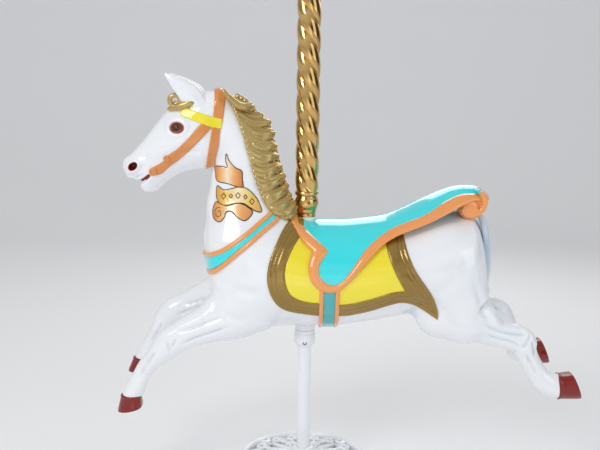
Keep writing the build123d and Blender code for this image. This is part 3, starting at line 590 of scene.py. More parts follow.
class Shader:
    """Short ways to add nodes to a tree. Most methods return the output socket."""

    def __init__(self, tree):
        self.tree = tree

    def add(self, kind, **props):
        made = self.tree.nodes.new(kind)
        for key, value in props.items():
            setattr(made, key, value)
        return made

    def put(self, value, socket):
        if isinstance(value, bpy.types.NodeSocket):
            self.tree.links.new(value, socket)
        else:
            socket.default_value = value

    def feed(self, **inputs):
        """Sets inputs of the principled node; _ in a name stands for a space."""
        for key, value in inputs.items():
            self.put(value, self.bsdf.inputs[key.replace("_", " ")])

    @property
    def bsdf(self):
        return next(n for n in self.tree.nodes if n.type == "BSDF_PRINCIPLED")

    def base_colour(self):
        return self.bsdf.inputs["Base Color"].links[0].from_socket

    def calc(self, op, a, b, clamp=False):
        made = self.add("ShaderNodeMath", operation=op, use_clamp=clamp)
        self.put(a, made.inputs[0])
        self.put(b, made.inputs[1])
        return made.outputs[0]

    def mix(self, factor, a, b):
        made = self.add("ShaderNodeMix", data_type="RGBA")
        for index, value in ((0, factor), (6, a), (7, b)):
            self.put(value, made.inputs[index])
        return made.outputs[2]

    def ramp(self, factor, stops):
        made = self.add("ShaderNodeValToRGB")
        self.put(factor, made.inputs[0])
        elements = made.color_ramp.elements
        while len(elements) < len(stops):
            elements.new(0.5)
        for k, (position, colour) in enumerate(stops):
            elements[k].position = position
            elements[k].color = colour
        return made.outputs[0]

    def coords(self):
        return self.add("ShaderNodeTexCoord").outputs["Object"]

    def stretch(self, vector, scale):
        made = self.add("ShaderNodeMapping")
        made.inputs["Scale"].default_value = scale
        self.put(vector, made.inputs[0])
        return made.outputs[0]

    def noise(self, scale, detail, rough, vector=None):
        made = self.add("ShaderNodeTexNoise")
        for key, value in (("Scale", scale), ("Detail", detail), ("Roughness", rough),
                           ("Vector", vector or self.coords())):
            self.put(value, made.inputs[key])
        return made.outputs["Fac"]

    def attribute(self, name):
        return self.add("ShaderNodeAttribute", attribute_name=name).outputs["Fac"]

    def crevice(self, full_at):
        """1 in folds, falling to 0 on flat skin."""
        point = self.add("ShaderNodeNewGeometry").outputs["Pointiness"]
        return self.ramp(point, [(full_at, WHITE), (0.50, BLACK)])

    def bump(self, height, strength, distance, under=None):
        made = self.add("ShaderNodeBump")
        self.put(strength, made.inputs["Strength"])
        self.put(distance, made.inputs["Distance"])
        self.put(height, made.inputs["Height"])
        if under is not None:
            self.put(under, made.inputs["Normal"])
        return made.outputs[0]


def new_material(name):
    material = bpy.data.materials.new(name)
    material.use_nodes = True
    shader = Shader(material.node_tree)
    shader.tree.nodes.clear()
    output = shader.add("ShaderNodeOutputMaterial")
    shader.put(shader.add("ShaderNodeBsdfPrincipled").outputs[0], output.inputs[0])
    return material, shader


def paint(name, base, shade, light, rough, coat, metallic=0.0, peel=0.10, attr=True,
          crease_shade=0.25, streak=None):
    """Brushed gloss enamel: colour drift, painted shade in folds and creases, orange-peel bump,
    uneven sheen.
    """
    base, shade, light = srgb(base), srgb(shade), srgb(light)
    material, sh = new_material(name)
    coords = sh.coords()
    drift = sh.noise(scale=7.0, detail=5.0, rough=0.6, vector=coords)
    fine = sh.noise(scale=46.0, detail=4.0, rough=0.55, vector=coords)
    colour = sh.mix(sh.calc("MULTIPLY", drift, 0.55), base, light)
    if attr:
        # Painted shade: the stored shade mask, varied by the drift noise, darkens the folds towards
        # the shade colour.
        uneven = sh.calc("ADD", sh.calc("MULTIPLY", drift, 0.7), 0.62)
        fold = sh.calc("MULTIPLY", sh.attribute("shade"), uneven, clamp=True)
        colour = sh.mix(fold, colour, shade)
    # Painted shade: creases found by pointiness are darkened towards the shade colour.
    painted_crease_shade = sh.calc("MULTIPLY", sh.crevice(full_at=0.40), crease_shade)
    colour = sh.mix(painted_crease_shade, colour, shade)
    if streak:
        lines = sh.noise(scale=1.0, detail=3.0, rough=0.5, vector=sh.stretch(coords, streak))
        colour = sh.mix(sh.calc("MULTIPLY", lines, 0.35), colour, shade)
    orange_peel = sh.bump(sh.noise(scale=260.0, detail=2.0, rough=0.5, vector=coords),
                          strength=peel, distance=0.0008)
    sh.feed(Base_Color=colour, Metallic=metallic, Coat_Weight=coat, Coat_Roughness=0.06,
            Roughness=sh.calc("ADD", sh.calc("MULTIPLY", fine, 0.10), rough - 0.05),
            Normal=sh.bump(fine, strength=peel * 1.6, distance=0.0016, under=orange_peel))
    return material


def metal(name, base, tint, rough, brush=None, spots=0.2):
    """Bare metal, tinted in patches, with painted shade in the folds; `brush` stretches its fine
    scratches.
    """
    base, tint = srgb(base), srgb(tint)
    material, sh = new_material(name)
    coords = sh.coords()
    drift = sh.noise(scale=9.0, detail=5.0, rough=0.65, vector=coords)
    fine = sh.noise(scale=70.0, detail=5.0, rough=0.7, vector=coords)
    colour = sh.mix(sh.calc("MULTIPLY", drift, 0.7), base, tint)
    # Painted shade: folds found by pointiness are darkened towards the tint.
    colour = sh.mix(sh.calc("MULTIPLY", sh.crevice(full_at=0.42), 0.6), colour, tint)
    roughness = sh.calc("ADD", sh.calc("MULTIPLY", fine, spots), rough)
    if brush:
        lines = sh.noise(scale=1.0, detail=2.0, rough=0.5, vector=sh.stretch(coords, brush))
        roughness = sh.calc("ADD", roughness, sh.calc("MULTIPLY", lines, 0.12))
        normal = sh.bump(lines, strength=0.12, distance=0.0003)
    else:
        normal = sh.bump(fine, strength=0.05, distance=0.0006)
    sh.feed(Base_Color=colour, Metallic=1.0, Roughness=roughness, Normal=normal)
    return material


# paint: base, painted shade in folds and creases, light; metal: base, tint, also used as painted
# shade in the folds
MATS = {
    "white": paint("enamel_white", "F2F5F9", "9DBBD8", "FFFFFF", rough=0.14, coat=0.9),
    "gold": paint("bronze_gold_paint", "B99A55", "5E4116", "DCC68A", rough=0.27, coat=0.45,
                  metallic=0.62, crease_shade=0.85, peel=0.2),
    "turquoise": paint("turquoise_enamel", "2CE2EA", "18A6B4", "48F2F6", rough=0.15, coat=0.9),
    "teal": paint("teal_enamel", "43AFB3", "2A7F86", "58C4C6", rough=0.18, coat=0.8),
    "orange": paint("tan_orange_enamel", "F59A4C", "BE6424", "FFB878", rough=0.17, coat=0.8,
                    crease_shade=0.6),
    "bridle": paint("bridle_tan_enamel", "DB873E", "96501C", "EDA462", rough=0.2, coat=0.7,
                    crease_shade=0.6),
    "yellow": paint("yellow_enamel", "FAE620", "D0AE10", "FFF24A", rough=0.15, coat=0.9),
    "border": paint("border_bronze_paint", "8E6C20", "3E2A08", "C4A45A", rough=0.24, coat=0.6,
                    metallic=0.5, crease_shade=0.8, peel=0.16),
    "hoof": paint("hoof_red_enamel", "861004", "420402", "9C1A08", rough=0.24, coat=0.35,
                  crease_shade=0.7, streak=(30, 30, 160)),
    "stand": paint("stand_white_powder_coat", "F1F4F8", "AFC3D8", "FFFFFF", rough=0.22,
                   coat=0.4, peel=0.22, crease_shade=0.5),
    "black": paint("line_black_enamel", "1A1412", "060404", "2C2420", rough=0.3, coat=0.3,
                   attr=False),
    "brass": metal("polished_brass", "F4CE86", "A06A2A", rough=0.06, spots=0.08),
    "steel": metal("machined_steel", "B9BDC2", "6E7176", rough=0.24, brush=(30, 30, 900)),
    "zinc": metal("zinc_fastener", "C9CCCF", "84878A", rough=0.28, spots=0.25),
    "alu": metal("turned_aluminium", "D2D5D8", "9A9DA1", rough=0.22, brush=(20, 20, 1200)),
    "nylon": paint("nylon_white", "ECEDEA", "C8CBC8", "F8F8F6", rough=0.42, coat=0.1,
                   attr=False),
    "tooth": paint("tooth_enamel", "F3EFE4", "C9BDA2", "FFFDF6", rough=0.2, coat=0.6,
                   attr=False),
    "wood": paint("birch_block", "C9A06C", "8A6236", "DDBB8A", rough=0.55, coat=0.0,
                  attr=False, streak=(8, 220, 220)),
    # Lock screw kept dark both as a black-oxide finish and as painted shade for the recess it sits
    # in.
    "dark": metal("blackened_screw_and_recess_shade", "3A3634", "141210", rough=0.3, spots=0.25),
    "rubber": paint("black_rubber", "1C1C1D", "0A0A0A", "2C2C2D", rough=0.62, coat=0.0,
                    attr=False, peel=0.5),
}


def white_copy(name):
    material = MATS["white"].copy()
    material.name = name
    return material, Shader(material.node_tree)


def head_material():
    """White enamel with eye rim, mouth and nostril painted where their masks say."""
    material, sh = white_copy("enamel_white_head")
    colour = sh.base_colour()
    for mask, edge, centre in (("eyerim", "E0A184", "9A4A30"), ("mouth", "E3A79A", "8E2F24"),
                               ("nostril", "D06048", "6A1009")):
        value = sh.attribute(mask)
        tone = sh.ramp(value, [(0.15, srgb(edge)), (0.8, srgb(centre))])
        cover = sh.ramp(value, [(0.02, BLACK), (0.35, WHITE)])
        colour = sh.mix(cover, colour, tone)
    sh.feed(Base_Color=colour)
    return material


def ear_material():
    material, sh = white_copy("enamel_white_ear")
    cover = sh.ramp(sh.attribute("lining"), [(0.35, BLACK), (0.75, WHITE)])
    sh.feed(Base_Color=sh.mix(cover, sh.base_colour(), srgb("7A3426")))
    return material


def eye_material():
    """Rings of colour from the white of the eye in to the pupil."""
    material, sh = new_material("eye_glaze")
    rings = [(0.0, "3A1710"), (0.20, "F4EAE2"), (0.27, "4A1A0E"), (0.34, "8A3A1C"),
             (0.50, "6A2A14"), (0.58, "120A08"), (1.0, "050303")]
    colour = sh.ramp(sh.attribute("iris"), [(at, srgb(code)) for at, code in rings])
    grain = sh.noise(scale=300.0, detail=3.0, rough=0.6)
    sh.feed(Base_Color=sh.mix(sh.calc("MULTIPLY", grain, 0.3), colour, srgb("2A120A")),
            Roughness=0.05, Coat_Weight=1.0,
            Normal=sh.bump(grain, strength=0.05, distance=0.0003))
    return material


def ribbon_material(name, main, end, x0, x1):
    """Enamel shaded along x from end tone through cream and back; x0, x1 in metres."""
    material = paint(name, main, end, "FFE9A8", rough=0.17, coat=0.8, attr=False)
    sh = Shader(material.node_tree)
    colour = sh.base_colour()
    split = sh.add("ShaderNodeSeparateXYZ")
    sh.put(sh.coords(), split.inputs[0])
    along = sh.calc("DIVIDE", sh.calc("SUBTRACT", split.outputs[0], x0), x1 - x0, clamp=True)
    grain = sh.calc("SUBTRACT", sh.noise(scale=60.0, detail=2.0, rough=0.5), 0.5)
    wavy = sh.calc("ADD", along, sh.calc("MULTIPLY", grain, 0.16), clamp=True)
    main, end = srgb(main), srgb(end)
    tone = sh.ramp(wavy, [(0.0, end), (0.22, main), (0.48, srgb("FFF3D2")), (0.72, main),
                          (1.0, end)])
    sh.feed(Base_Color=sh.mix(0.82, colour, tone))
    return material


# ------------------------------------------------------------------ piece helpers
def make_obj(name, verts, faces):
    mesh = bpy.data.meshes.new(name)
    mesh.from_pydata([tuple(p) for p in (np.asarray(verts) * MM)], [],
                     [tuple(int(i) for i in f) for f in faces])
    mesh.validate()
    mesh.update()
    ob = bpy.data.objects.new(name, mesh)
    bpy.context.scene.collection.objects.link(ob)
    mesh.polygons.foreach_set("use_smooth", [True] * len(mesh.polygons))
    return ob


@contextmanager
def editing(ob):
    bm = bmesh.new()
    bm.from_mesh(ob.data)
    yield bm
    bm.to_mesh(ob.data)
    bm.free()


def cut_plane(bm, point, normal, clear_inner=False):
    bmesh.ops.bisect_plane(bm, geom=bm.verts[:] + bm.edges[:] + bm.faces[:],
                           plane_co=Vector(point) * MM, plane_no=Vector(normal),
                           clear_inner=clear_inner)


def tidy(ob, weld=False, crease=None, level_only=False):
    """Turns faces outwards; edges bent more than `crease` radians become sharp."""
    with editing(ob) as bm:
        if weld:
            bmesh.ops.remove_doubles(bm, verts=bm.verts, dist=1e-6)
        bmesh.ops.recalc_face_normals(bm, faces=bm.faces)
        if crease:
            for edge in bm.edges:
                level = abs(edge.verts[0].co.z - edge.verts[1].co.z) < 1e-5
                if (len(edge.link_faces) == 2 and edge.calc_face_angle(0) > crease
                        and (level or not level_only)):
                    edge.smooth = False


def mesh_arrays(ob):
    """Vertex positions in millimetres, and normals."""
    points = np.empty(len(ob.data.vertices) * 3)
    normals = np.empty_like(points)
    ob.data.vertices.foreach_get("co", points)
    ob.data.vertices.foreach_get("normal", normals)
    return points.reshape(-1, 3) / MM, normals.reshape(-1, 3)


def point_mask(ob, name, values):
    """Stores a 0..1 value on each vertex."""
    data = ob.data.attributes.new(name, "FLOAT", "POINT").data
    data.foreach_set("value", np.full(len(ob.data.vertices), np.clip(values, 0, 1), np.float32))


def hollow_shade(points, normals, reach=14.0, field=BODY, grid=BODY_GRID):
    """0 on open skin, up to 1 in the folds."""
    dist = sample(field, grid, points + normals * reach)
    return np.clip((reach - dist) / reach * 1.5 - 0.12, 0, 1)


def shell(ob, thickness):
    """Gives an open skin its wall thickness, rim closed."""
    with editing(ob) as bm:
        for edge in bm.edges:
            if edge.is_boundary:
                edge.smooth = False
    wall = ob.modifiers.new("wall", "SOLIDIFY")
    wall.thickness = thickness * MM
    wall.offset = -1.0
    wall.use_even_offset = False
    wall.use_rim = True


def finish(ob, material, replaces=None, body="horse"):
    ob.data.materials.append(material)
    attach(ob, body)
    if replaces:
        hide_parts(replaces)
    return ob


def field_piece(name, lo, hi, shape, material, replaces=None, body="horse",
                h=RELIEF_STEP, smooth=1, shade=None):
    """Meshes the inside of a field in the box lo..hi."""
    grid = Grid(lo, hi, h)
    field = np.array(np.broadcast_to(shape(grid), grid.shape), np.float32)
    for axis in range(3):       # close the surface at the box
        np.moveaxis(field, axis, 0)[[0, -1]] = 9
    verts, quads = surface_nets(field, grid.lo, h)
    verts = relax(verts, quads, smooth)
    ob = make_obj(name, verts, quads)
    point_mask(ob, "shade", shade(verts) if shade else 0.0)
    return finish(ob, material, replaces, body)


def body_at(grid):
    return resample(BODY, BODY_GRID, grid)


def outline_dist(grid, outline):
    return poly_sdf(grid.X2, grid.Z2, outline)[:, None, :]


def on_skin(field, skin, depth=4.0):
    """Trims a shape to what lies above `depth` under the skin."""
    return smax(field, -(skin + depth), 1.0)


def clear_pole(field, grid, k, radius=TACK_CLEARANCE):
    return smax(field, radius - np.hypot(grid.X, grid.Y), k)


def torus_quads(rings, count):
    """Quads over closed rings that also close on each other."""
    return [(i * count + j, i * count + (j + 1) % count,
             (i + 1) % rings * count + (j + 1) % count, (i + 1) % rings * count + j)
            for i in range(rings) for j in range(count)]


def loft_rings(name, rings):
    """Skin over closed rings with a fan cap at both ends."""
    n = len(rings[0])
    last = (len(rings) - 1) * n
    faces = torus_quads(len(rings), n)[:last]
    hub = last + n
    faces += [(hub, (j + 1) % n, j) for j in range(n)]
    faces += [(hub + 1, last + j, last + (j + 1) % n) for j in range(n)]
    ob = make_obj(name, np.concatenate([*rings, [rings[0].mean(0), rings[-1].mean(0)]]), faces)
    tidy(ob)
    return ob


def tube(name, points, radius, material, closed=False, sides=8):
    line = np.array(points, float)
    m = len(line)
    rings = []
    for i in range(m):
        before = line[(i - 1) % m if closed else max(i - 1, 0)]
        after = line[(i + 1) % m if closed else min(i + 1, m - 1)]
        run = (after - before) / (np.linalg.norm(after - before) + 1e-9)
        out = np.cross(run, [0, 1, 0])
        out /= np.linalg.norm(out) + 1e-9
        across = np.cross(run, out)
        rings.append(np.array([line[i] + radius * (math.cos(q) * out + math.sin(q) * across)
                               for q in np.linspace(0, TAU, sides, endpoint=False)]))
    if closed:
        ob = make_obj(name, np.concatenate(rings), torus_quads(m, sides))
        tidy(ob)
    else:
        ob = loft_rings(name, rings)
    point_mask(ob, "shade", 0.0)
    return finish(ob, material)


# ------------------------------------------------------------------ skin mouldings
HEAD_CUT_NORMAL = np.array([-0.973, 0.0, 0.229])
HEAD_CUT_POINT = np.array([-210.0, 0.0, 990.0])
NECK_CUT_Z = 700
BARREL_LEFT, BARREL_RIGHT, NECK, FIRST_LEG, HEAD_LABEL = 0, 1, 2, 3, -1
# object and the node it replaces, in label order
SKIN_PARTS = [("barrel_left", "body_left"), ("barrel_right", "body_right"),
              ("neck_moulding", "neck")] + [(leg[0] + "_moulding", leg[0]) for leg in LEGS]


def split_labels(centres):
    """The moulding each face belongs to."""
    x, y, z = centres.T
    labels = np.full(len(centres), BARREL_LEFT)
    labels[(z > NECK_CUT_Z) & (x < 0)] = NECK
    for k, (_, side, stations, _, _, (x0, z0), (nx, nz)) in enumerate(LEGS):
        line = catmull(stations, 6)
        dist, along = line_dist(x, z, line[:, :2])
        i = np.clip(along.astype(int), 0, len(line) - 2)
        labels[(dist < line[i, 2] * 1.35 + 4) & (y * side > 3)
               & ((x - x0) * nx + (z - z0) * nz > 0)] = FIRST_LEG + k
    labels[(labels == BARREL_LEFT) & (y > 0)] = BARREL_RIGHT
    beyond = (centres - HEAD_CUT_POINT) @ HEAD_CUT_NORMAL > 0
    labels[(z > NECK_CUT_Z) & beyond] = HEAD_LABEL
    return labels


def skin_mouldings():
    verts, quads = surface_nets(BODY, BODY_GRID.lo, BODY_STEP)
    whole = make_obj("skin_whole", relax(verts, quads), quads)
    with editing(whole) as bm:
        cut_plane(bm, (0, 0, 0), (0, 1, 0))
        cut_plane(bm, (0, 0, NECK_CUT_Z), (0, 0, 1))
        cut_plane(bm, HEAD_CUT_POINT, HEAD_CUT_NORMAL)
    points, normals = mesh_arrays(whole)
    faces = [tuple(p.vertices) for p in whole.data.polygons]
    labels = split_labels(np.array([points[list(f)].mean(0) for f in faces]))
    bpy.data.objects.remove(whole)
    for want, (name, node) in enumerate(SKIN_PARTS):
        keep = [f for f, label in zip(faces, labels) if label == want]
        used = sorted({i for f in keep for i in f})
        new_index = {old: k for k, old in enumerate(used)}
        ob = make_obj(name, points[used], [tuple(new_index[i] for i in f) for f in keep])
        point_mask(ob, "shade", hollow_shade(points[used], normals[used]))
        shell(ob, 5.0)
        finish(ob, MATS["white"], node)


skin_mouldings()


# ------------------------------------------------------------------ head, teeth, ears, eyes
HEAD_BOTTOM = 0.722             # metres; below it the head's own mesh is dropped


def head_moulding():
    verts, quads = surface_nets(HEAD, HEAD_GRID.lo, HEAD_STEP)
    head = make_obj("head_moulding", relax(verts, quads), quads)
    with editing(head) as bm:
        cut_plane(bm, HEAD_CUT_POINT, HEAD_CUT_NORMAL, clear_inner=True)
        low = [v for v in bm.verts if v.co.z < HEAD_BOTTOM]
        bmesh.ops.delete(bm, geom=low, context="VERTS")
    points, normals = mesh_arrays(head)
    x, y, z = points.T
    point_mask(head, "shade", hollow_shade(points, normals, 10.0, HEAD, HEAD_GRID))
    # masks fade from 1 to 0 over a few millimetres at each feature's edge
    point_mask(head, "nostril",
               np.clip((12.0 - nostril_dist(x, z)) / 4.0, 0, 1) * (np.abs(y) > 8))
    point_mask(head, "eyerim",
               np.clip((15.6 - eye_dist(x, z, 0.80)) / 4.0, 0, 1) * (np.abs(y) > 14))
    mouth, _ = line_dist(x, z, catmull(MOUTH_LINE, 6))
    point_mask(head, "mouth", (5.0 - mouth) / 3.0)
    shell(head, 4.0)
    finish(head, head_material(), "head")


head_moulding()

TOOTH_LINE = catmull([(-427, 744), (-419, 749), (-410, 753.5), (-401, 758.5)], 6)


def teeth_f(grid):
    """A strip along the mouth, notched between teeth and open in the middle."""
    dist, along = line_dist(grid.X2, grid.Z2, TOOTH_LINE)
    notch = 0.9 * np.exp(-((((along + 0.5) % 3.0) - 1.5) / 0.45) ** 2)
    strip = (dist - 2.7 + notch)[:, None, :]
    field = smax(head_f(grid) + 1.9, strip, 1.0) + 0.6 * notch[:, None, :]
    return smax(field, 7.0 - np.abs(grid.Y), 1.0)


field_piece("tooth_rows", (-436, -46, 736), (-392, 46, 768), teeth_f, MATS["tooth"],
            "teeth", h=step(1.1))


def ear_lining(points, side):
    """1 inside the cup, 0 elsewhere."""
    x, y, z = points.T
    _, along = line_dist(x, z, EAR[:, :2])
    near = EAR[np.clip(along.astype(int), 0, len(EAR) - 2)]
    depth = EAR_CUP_DEPTH * near[:, 2] + 0.6
    dx = x - EAR_FRONT_X * EAR_CUP_SHIFT * near[:, 2] - near[:, 0]
    dz = z - EAR_FRONT_Z * EAR_CUP_SHIFT * near[:, 2] - near[:, 1]
    dist = np.hypot(dx * EAR_FRONT_X / depth + dz * EAR_FRONT_Z / depth,
                    (y - side * (near[:, 4] - 1.0)) / (EAR_CUP_WIDTH * near[:, 3] + 0.6))
    return ((dist < 1.04) & (z > EAR_CUP_BOTTOM)).astype(float)


EAR_MATERIAL = ear_material()
for name, side in (("ear_left", -1), ("ear_right", 1)):
    ear_y = side * 33
    ear = field_piece(name + "_moulding", (-360, ear_y - 30, 915), (-236, ear_y + 30, 1032),
                      lambda grid: ear_f(grid, side), EAR_MATERIAL, name,
                      h=step(1.6))
    point_mask(ear, "lining", ear_lining(mesh_arrays(ear)[0], side))


def eye_ball(name, side):
    """Ellipsoid set in the socket, with a raised cornea facing outwards."""
    around, rows = 40, 28
    half_x, half_y, half_z = 14.5, 11.0, 11.5
    cornea_angle, cornea_rise = 0.62, 1.3
    inside = [y for y in np.arange(20, 75, 0.5)
              if sample(HEAD, HEAD_GRID, np.array([[EYE_X, y, EYE_Z]]))[0] < 0]
    skin = max(inside, default=40) + 1.0
    verts = []
    for i in range(rows + 1):
        t = math.pi * i / rows
        for j in range(around):
            p = TAU * j / around
            y = half_y * math.cos(t)
            if t < cornea_angle:
                y += cornea_rise * math.cos(t / cornea_angle * math.pi / 2) ** 2
            verts.append((EYE_X + half_x * math.sin(t) * math.cos(p), side * (skin - 6.0 + y),
                          EYE_Z + half_z * math.sin(t) * math.sin(p)))
    faces = []
    for i in range(rows):
        for j in range(around):
            a, b = i * around + j, i * around + (j + 1) % around
            quad = (a, b, b + around, a + around)
            faces.append(quad if side < 0 else quad[::-1])
    ob = make_obj(name + "_ball", verts, faces)
    tidy(ob, weld=True)
    x, _, z = mesh_arrays(ob)[0].T
    point_mask(ob, "iris", 1 - np.hypot((x - EYE_X + 1.0) / 1.15, z - EYE_Z) / 14.0)
    return ob


EYE_MATERIAL = eye_material()
for name, side in (("eye_left", -1), ("eye_right", 1)):
    finish(eye_ball(name, side), EYE_MATERIAL, name)


# ------------------------------------------------------------------ hooves
HOOF_Y = 75
# place from coronet (0) to sole (1), scale of the ring
HOOF_RINGS = [
    (-0.10, 0.80), (-0.04, 0.93), (0.0, 1.03), (0.05, 1.06), (0.11, 1.01), (0.3, 1.0),
    (0.5, 1.01), (0.7, 1.02), (0.88, 1.03), (0.96, 1.02), (1.0, 0.98), (1.0, 0.86),
    (0.93, 0.74), (0.88, 0.4), (0.86, 0.1)]
# name, side, then coronet and sole: centre, toe direction, half length, half width
HOOVES = [
    ("hoof_fore_left", -1, ((-433, 221), (-1, 0.04), 28.5, 26),
     ((-438, 184), (-0.97, -0.22), 34, 30)),
    ("hoof_fore_right", 1, ((-430, 270), (-1, 0.1), 28.0, 26),
     ((-440, 234), (-1, -0.03), 33, 30)),
    ("hoof_hind_left", -1, ((637, 259), (0.02, -1), 34, 29), ((684, 262), (0.39, -0.92), 38, 32)),
    ("hoof_hind_right", 1, ((597, 302), (0.02, -1), 34, 29), ((643, 306), (0.39, -0.92), 38, 32))]


def hoof(name, side, coronet, sole):
    angle = np.linspace(0, TAU, 48, endpoint=False)
    cos, sin = np.cos(angle), np.sin(angle)
    heel = np.where(cos < -0.55, 1 - 0.16 * ((-cos - 0.55) / 0.45) * (1 - np.abs(sin) * 0.6), 1.0)
    rings = []
    for t, scale in HOOF_RINGS:
        centre, toe, length, width = (np.array(a) * (1 - t) + np.array(b) * t
                                      for a, b in zip(coronet, sole))
        toe = toe / np.linalg.norm(toe)
        length, width = length * scale, width * scale
        rings.append(np.stack([centre[0] + toe[0] * length * cos * heel,
                               side * HOOF_Y + width * sin * (1 - 0.12 * cos),
                               centre[1] + toe[1] * length * cos * heel], 1))
    ob = loft_rings(name + "_shell", rings)
    rounding = ob.modifiers.new("sub", "SUBSURF")
    rounding.levels = 1
    rounding.render_levels = 1
    point_mask(ob, "shade", 0.0)
    finish(ob, MATS["hoof"], name)


for row in HOOVES:
    hoof(*row)


# ------------------------------------------------------------------ saddlery
def smooth_outline(points, corners):
    """Closed Catmull outline that keeps the numbered corners sharp."""
    out = []
    for a, b in zip(corners, corners[1:] + (corners[0] + len(points),)):
        out.append(catmull([points[k % len(points)] for k in range(a, b + 1)], 5)[:-1])
    return np.concatenate(out)


# Side outlines: x, z. The top corners lie above the figure.
SADDLE_EDGE = smooth_outline([
    (-19, 664), (0, 644), (27, 623), (51, 604), (36, 584), (28, 562), (31, 546), (42, 532),
    (59, 524), (78, 526), (94, 539), (114, 565), (136, 597), (160, 622), (203, 651),
    (245, 670), (290, 689), (341, 720), (379, 735), (418, 737), (440, 739), (470, 745),
    (470, 800), (-19, 800)], (0, 3, 21, 22, 23))
TRIM_EDGE = smooth_outline([
    (-41, 668), (-29, 653), (-14, 634), (0, 620), (18, 605), (12, 588), (8, 566), (11, 546),
    (19, 528), (37, 513), (59, 509), (82, 516), (106, 539), (130, 568), (155, 596),
    (181, 621), (206, 637), (232, 650), (284, 671), (340, 697), (368, 711), (393, 721),
    (416, 726), (440, 722), (480, 730), (480, 820), (-41, 820)], (0, 4, 24, 25, 26))
BORDER_OUTER = smooth_outline([
    (-43, 668), (-55, 654), (-66, 635), (-81, 600), (-91, 568), (-94, 539), (-91, 514),
    (-82, 489), (-66, 466), (-44, 453), (-9, 446), (31, 441), (83, 441), (110, 443),
    (159, 456), (196, 470), (227, 479), (252, 476), (284, 461), (322, 437), (323, 455),
    (311, 490), (291, 522), (265, 559), (248, 594), (240, 622), (236, 650), (240, 760),
    (-60, 760)], (0, 19, 26, 27, 28))
BORDER_INNER = smooth_outline([
    (-4, 652), (-17, 631), (-29, 614), (-40, 592), (-48, 569), (-51, 544), (-47, 521),
    (-38, 501), (-21, 488), (2, 481), (32, 478), (84, 475), (121, 481), (169, 495),
    (205, 508), (238, 513), (219, 546), (204, 579), (195, 608), (191, 640), (195, 760),
    (-8, 760)], (0, 15, 19, 20, 21))
# x, z
SEAT_TOP = [
    (-60, 668), (-30, 665), (0, 664), (40, 665), (85, 665), (136, 670), (188, 677),
    (213, 685), (249, 701), (302, 728), (340, 744), (365, 752), (395, 756), (417, 755),
    (437, 747), (452, 732), (462, 716)]
# x, half width
SEAT_WIDTH = [(-60, 133), (0, 140), (60, 142), (180, 145), (250, 145), (300, 140), (365, 122),
              (417, 100), (456, 78)]


def seat_f(grid):
    x = grid.x
    top = column_at(SEAT_TOP, 1, x)
    bottom = column_at(TORSO, 2, np.minimum(x, 330)) - 4
    width = column_at(SEAT_WIDTH, 1, x)[:, None, None]
    half = ((top - bottom) / 2)[:, None, None]
    return ellipse_f(grid.Z - ((top + bottom) / 2)[:, None, None], grid.Y, half, width)


def saddle_f(grid):
    skin = body_at(grid)
    field = smax(smin(seat_f(grid), skin - 4.2, 3.0), outline_dist(grid, SADDLE_EDGE) - 2.0, 2.5)
    return clear_pole(on_skin(field, skin, 5.0), grid, 3.0)


def trim_f(grid):
    """Bead between the saddle and trim outlines, and a thin sheet over the back end."""
    inner, outer = outline_dist(grid, SADDLE_EDGE), outline_dist(grid, TRIM_EDGE)
    skin = body_at(grid)
    base = smin(seat_f(grid), skin, 5.0)
    middle = (inner + outer) * 0.5
    half = np.maximum((inner - outer) * 0.5, 3.0)
    bead = ellipse_f(middle, base + 2.0, np.maximum(half + 3.5, 7.0), 7.4)
    bead = np.maximum(bead, np.maximum(-inner - 7.0, outer - 4.0))
    sheet = smax(smax(base - 1.2, 424.0 - grid.X, 1.0), -(base + 7.0), 1.0)
    field = np.minimum(bead, smax(sheet, outer - 3.0, 1.0))
    return clear_pole(on_skin(field, skin), grid, 3.0)


field_piece("saddle_seat", (-34, -152, 505), (470, 152, 772), saddle_f, MATS["turquoise"],
            "saddle", smooth=2)
field_piece("saddle_trim_bead", (-52, -156, 492), (470, 156, 760), trim_f, MATS["orange"],
            "saddle_trim", smooth=2)

# Rolled end of the cantle: a spiral, scaled by 0.8 and moved to its place
ROLL_SPIRAL = catmull([
    (440, 745), (452, 736), (459, 722), (460, 704), (452, 687), (436, 675), (417, 671),
    (400, 677), (392, 692), (398, 706), (412, 711), (425, 705), (428, 694), (420, 687)], 6)
ROLL_ALL = np.array([(398.0, 704.0)]) + 0.80 * (ROLL_SPIRAL - np.array([(412.0, 692.0)]))
ROLL_LINE = ROLL_ALL[5:int(0.60 * len(ROLL_ALL))]


def roll_cover_f(grid):
    dist, along = line_dist(grid.X2, grid.Z2, ROLL_ALL[:16])
    radius = 4.6 + 3.6 * np.clip(along / 7.0, 0, 1)
    return smax((dist - radius)[:, None, :] * np.ones_like(grid.Y), np.abs(grid.Y) - 57.5, 2.5)


def roll_f(grid):
    dist, along = line_dist(grid.X2, grid.Z2, ROLL_LINE)
    radius = pchip([0, 0.4, 0.8, 1.0], [6.6, 7.2, 7.0, 6.0], along / (len(ROLL_LINE) - 1))
    off_middle = np.abs(grid.Y)
    roll = smax((dist - radius)[:, None, :] * np.ones_like(grid.Y), off_middle - 66.0, 5.0)
    bulb = smax(np.hypot(grid.X - 400, grid.Z - 705) - 23.0, off_middle - 68.0, 16.0)
    web = smax(np.hypot(grid.X - 403, grid.Z - 707) - 31.0, off_middle - 56.0, 4.0)
    return np.minimum(np.minimum(roll, bulb), web)


field_piece("cantle_roll_cover", (396, -72, 690), (462, 72, 772), roll_cover_f,
            MATS["turquoise"], smooth=2)
field_piece("cantle_roll", (362, -80, 650), (474, 80, 762), roll_f, MATS["orange"],
            "cantle_scrolls", smooth=2)


def cloth_f(grid):
    skin = body_at(grid)
    field = smax(skin - 2.6, outline_dist(grid, BORDER_INNER) - 1.5, 1.0)
    return clear_pole(on_skin(field, skin), grid, 2.0)


